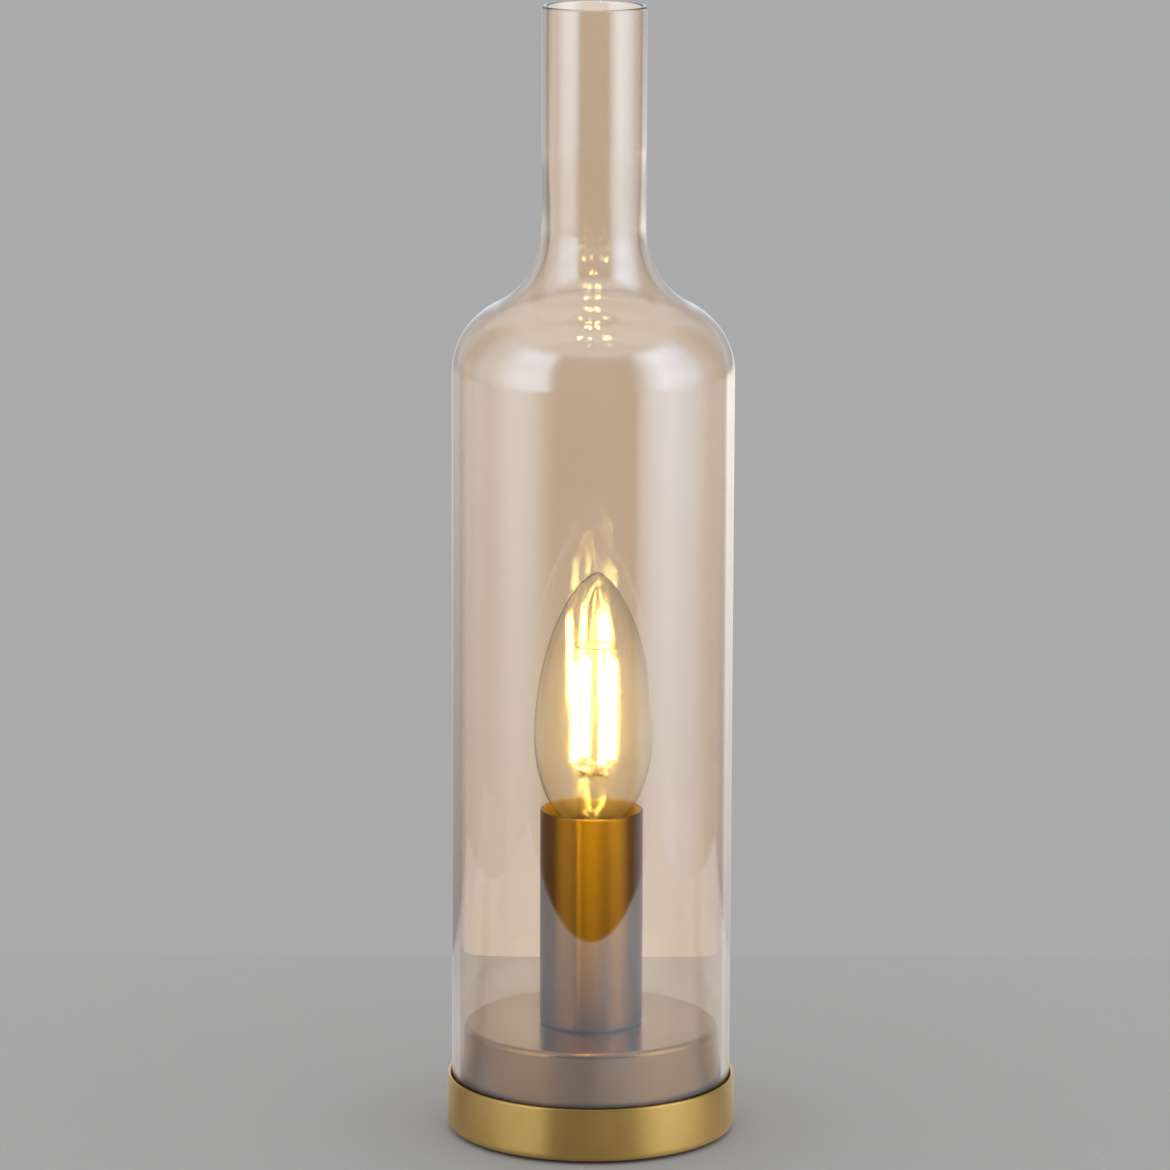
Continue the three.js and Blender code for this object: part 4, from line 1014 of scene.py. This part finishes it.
# above the horizon the cloths are brighter, and the wall behind is evenly lit
HIGH_LEVELS = [
    (0.000, 0.50, COOL),
    (0.025, 0.72, COOL),
    (0.060, 1.05, COOL),
    (0.119, 1.10, COOL),
    (0.140, 0.98, COOL),
    (0.154, 0.34, COOL),
    (0.170, 0.04, COOL),
    (0.333, 0.04, COOL),
    (0.350, 0.20, COOL),
    (0.372, 0.65, COOL),
    (0.389, 1.00, COOL),
    (0.417, 1.45, COOL),
    (0.470, 1.25, COOL),
    (0.490, 1.05, COOL),
    (0.514, 0.80, COOL),
    (0.540, 0.40, COOL),
    (0.575, 0.22, PLAIN),
    (0.610, 0.22, PLAIN),
    (0.650, 0.45, PLAIN),
    (0.710, 0.38, PLAIN),
    (0.735, 0.75, COLD),
    (0.765, 0.75, COLD),
    (0.790, 0.38, PLAIN),
    (0.850, 0.45, PLAIN),
    (0.890, 0.18, PLAIN),
    (0.925, 0.18, PLAIN),
    (0.950, 0.42, COOL),
    (1.000, 0.50, COOL),
]
# height 0 is straight down, 0.5 is the horizon and 1 is straight up
HEIGHT_LEVELS = [
    (0.000, 0.55, PLAIN),
    (0.375, 0.55, PLAIN),
    (0.418, 1.00, PLAIN),
    (0.456, 1.20, PLAIN),
    (0.500, 1.40, PLAIN),
    (0.587, 1.45, PLAIN),
    (0.703, 1.30, PLAIN),
    (0.840, 1.60, PLAIN),
]
CEILING = (0.70, 0.70, 0.70, 1.0)
WHITE = (1.0, 1.0, 1.0, 1.0)
print("studio with", len(LOW_LEVELS), "levels low,", len(HIGH_LEVELS), "high and", len(HEIGHT_LEVELS), "up")

# %% Paint the studio in the world
world = bpy.data.worlds.new("soft_studio")
scene.world = world
world.use_nodes = True
world.cycles.sampling_method = "NONE"
tree = world.node_tree
direction = add_node(tree, "ShaderNodeTexCoord", {}).outputs["Generated"]
bearing = add_node(tree, "ShaderNodeTexGradient", {"Vector": direction}, gradient_type="RADIAL").outputs["Fac"]
low_cloth = add_node(tree, "ShaderNodeValToRGB", {"Fac": bearing})
set_levels(low_cloth.color_ramp, LOW_LEVELS)
high_cloth = add_node(tree, "ShaderNodeValToRGB", {"Fac": bearing})
set_levels(high_cloth.color_ramp, HIGH_LEVELS)
rise = add_node(tree, "ShaderNodeSeparateXYZ", {"Vector": direction}).outputs["Z"]
is_high = add_node(
    tree,
    "ShaderNodeMapRange",
    {"Value": rise, "From Min": -0.165, "From Max": -0.085},
    interpolation_type="SMOOTHSTEP",
).outputs["Result"]
around_lamp = add_node(
    tree,
    "ShaderNodeMix",
    {"Factor": is_high, "A": low_cloth.outputs["Color"], "B": high_cloth.outputs["Color"]},
    data_type="RGBA",
).outputs[2]
height = add_node(tree, "ShaderNodeMapRange", {"Value": rise, "From Min": -1.0}).outputs["Result"]
up_lamp = add_node(tree, "ShaderNodeValToRGB", {"Fac": height})
set_levels(up_lamp.color_ramp, HEIGHT_LEVELS)
cloth = add_node(
    tree, "ShaderNodeVectorMath", {0: around_lamp, 1: up_lamp.outputs["Color"]}, operation="MULTIPLY"
).outputs[0]
is_ceiling = add_node(
    tree,
    "ShaderNodeMapRange",
    {"Value": rise, "From Min": 0.64, "From Max": 0.83},
    interpolation_type="SMOOTHSTEP",
).outputs["Result"]
studio = add_node(
    tree, "ShaderNodeMix", {"Factor": is_ceiling, "A": cloth, "B": CEILING}, data_type="RGBA"
).outputs[2]
print("studio painted by bearing and height,", len(tree.nodes), "nodes")

# %% Show the studio only in reflections
path = add_node(tree, "ShaderNodeLightPath", {}).outputs
mirrored = add_node(tree, "ShaderNodeMath", {0: path["Glossy Depth"], 1: 1.0}, operation="MINIMUM").outputs[0]
mirrored = add_node(
    tree, "ShaderNodeMath", {0: mirrored, 1: path["Is Diffuse Ray"]}, operation="SUBTRACT", use_clamp=True
).outputs[0]
lit = add_node(
    tree,
    "ShaderNodeMix",
    {"Factor": mirrored, "A": WHITE, "B": studio},
    data_type="RGBA",
).outputs[2]
shown = add_node(
    tree, "ShaderNodeMix", {"Factor": path["Is Camera Ray"], "A": lit, "B": GROUND}, data_type="RGBA"
).outputs[2]
connect(tree, tree.nodes["Background"], {"Color": shown, "Strength": 1.0})
print(world.name, len(tree.nodes), "nodes")

# %% [markdown]
# ## Glow on the sleeve
#
# The sleeve is gold because the lit filaments mirror in the front wall of the bottle and shine back on it. A
# path tracer finds that mirrored light only by luck, so four warm panels with soft edges, just inside the wall
# where the mirror pictures are, take its place. They are brightest at the top, beside the filaments. Light
# linking keeps them to the sleeve, and no camera ray sees them.

# %% Place the warm panels
PANEL_REACH = 32 * MM
PANEL_HEIGHT = (SLEEVE_TOP - 13) * MM
PANEL_TALL = 107 * MM
PANEL_FOOT_LEVEL = 0.12
PANEL_TOP_LEVEL = 2.2
# name, turn from the front in degrees, width and radiance
WARM_PANELS = (
    ("front", 0, 43 * MM, 1.70),
    ("left", -48, 43 * MM, 0.62),
    ("right", 44, 43 * MM, 1.05),
    ("streak", -22, 5 * MM, 2.2),
)
gilded = bpy.data.collections.new("gilded_pieces")
gilded.objects.link(sleeve)
for name, turn, wide, radiance in WARM_PANELS:
    panel_data = bpy.data.lights.new(f"warm_panel_{name}", "AREA")
    panel_data.shape = "RECTANGLE"
    panel_data.size = wide
    panel_data.size_y = PANEL_TALL
    panel_data.color = linear("#ffee10")[:3]
    panel_data.energy = radiance * pi * wide * PANEL_TALL
    panel_data.use_nodes = True
    tree = panel_data.node_tree
    spot = add_node(tree, "ShaderNodeNewGeometry", {}).outputs["Parametric"]
    spot = add_node(tree, "ShaderNodeSeparateXYZ", {"Vector": spot}).outputs
    aside = add_node(tree, "ShaderNodeMath", {0: spot["X"], 1: 0.5}, operation="SUBTRACT").outputs[0]
    aside = add_node(tree, "ShaderNodeMath", {0: aside}, operation="ABSOLUTE").outputs[0]
    across = add_node(
        tree,
        "ShaderNodeMapRange",
        {"Value": aside, "From Min": 0.5, "From Max": 0.0},
        interpolation_type="SMOOTHSTEP",
    ).outputs["Result"]
    along = add_node(
        tree,
        "ShaderNodeMapRange",
        {"Value": spot["Y"], "To Min": PANEL_FOOT_LEVEL, "To Max": PANEL_TOP_LEVEL},
    ).outputs["Result"]
    level = add_node(tree, "ShaderNodeMath", {0: across, 1: along}, operation="MULTIPLY").outputs[0]
    connect(tree, tree.nodes["Emission"], {"Strength": level})
    panel = bpy.data.objects.new(panel_data.name, panel_data)
    panel.matrix_world = (
        Matrix.Rotation(radians(turn), 4, "Z")
        @ Matrix.Translation((0.0, -PANEL_REACH, PANEL_HEIGHT))
        @ Matrix.Rotation(radians(90), 4, "X")
    )
    panel.visible_camera = False
    panel.visible_transmission = False
    panel.light_linking.receiver_collection = gilded
    scene.collection.objects.link(panel)
    print(panel.name, "at", [round(v / MM, 1) for v in panel.matrix_world.translation])

# %% [markdown]
# ## Light in the mouth of the sleeve
#
# The filaments also shine down past the cap of the bulb into the mouth of the sleeve. Thin curved glass stands
# between, which bends that light away from the paths that a renderer tries first, so a small lamp just above
# the cap stands in for it. Light linking lets it light, and be shaded by, the sleeve and the cap alone.

# %% Light the mouth of the sleeve
MOUTH_RISE = 12  # above the sleeve, in mm
MOUTH_BALL = 5 * MM
MOUTH_POWER = 0.038
mouth_pieces = bpy.data.collections.new("mouth_pieces")
for piece in (sleeve, cap_piece):
    mouth_pieces.objects.link(piece)
mouth_data = bpy.data.lights.new("warm_mouth", "POINT")
mouth_data.color = linear("#fff478")[:3]
mouth_data.energy = MOUTH_POWER
mouth_data.shadow_soft_size = MOUTH_BALL
mouth_light = bpy.data.objects.new("warm_mouth", mouth_data)
mouth_light.location = (0.0, 0.0, (SLEEVE_TOP + MOUTH_RISE) * MM)
mouth_light.visible_camera = False
mouth_light.visible_transmission = False
mouth_light.light_linking.receiver_collection = mouth_pieces
mouth_light.light_linking.blocker_collection = mouth_pieces
scene.collection.objects.link(mouth_light)
print(mouth_light.name, "at", [round(v / MM, 1) for v in mouth_light.location], "with", mouth_data.energy, "W")
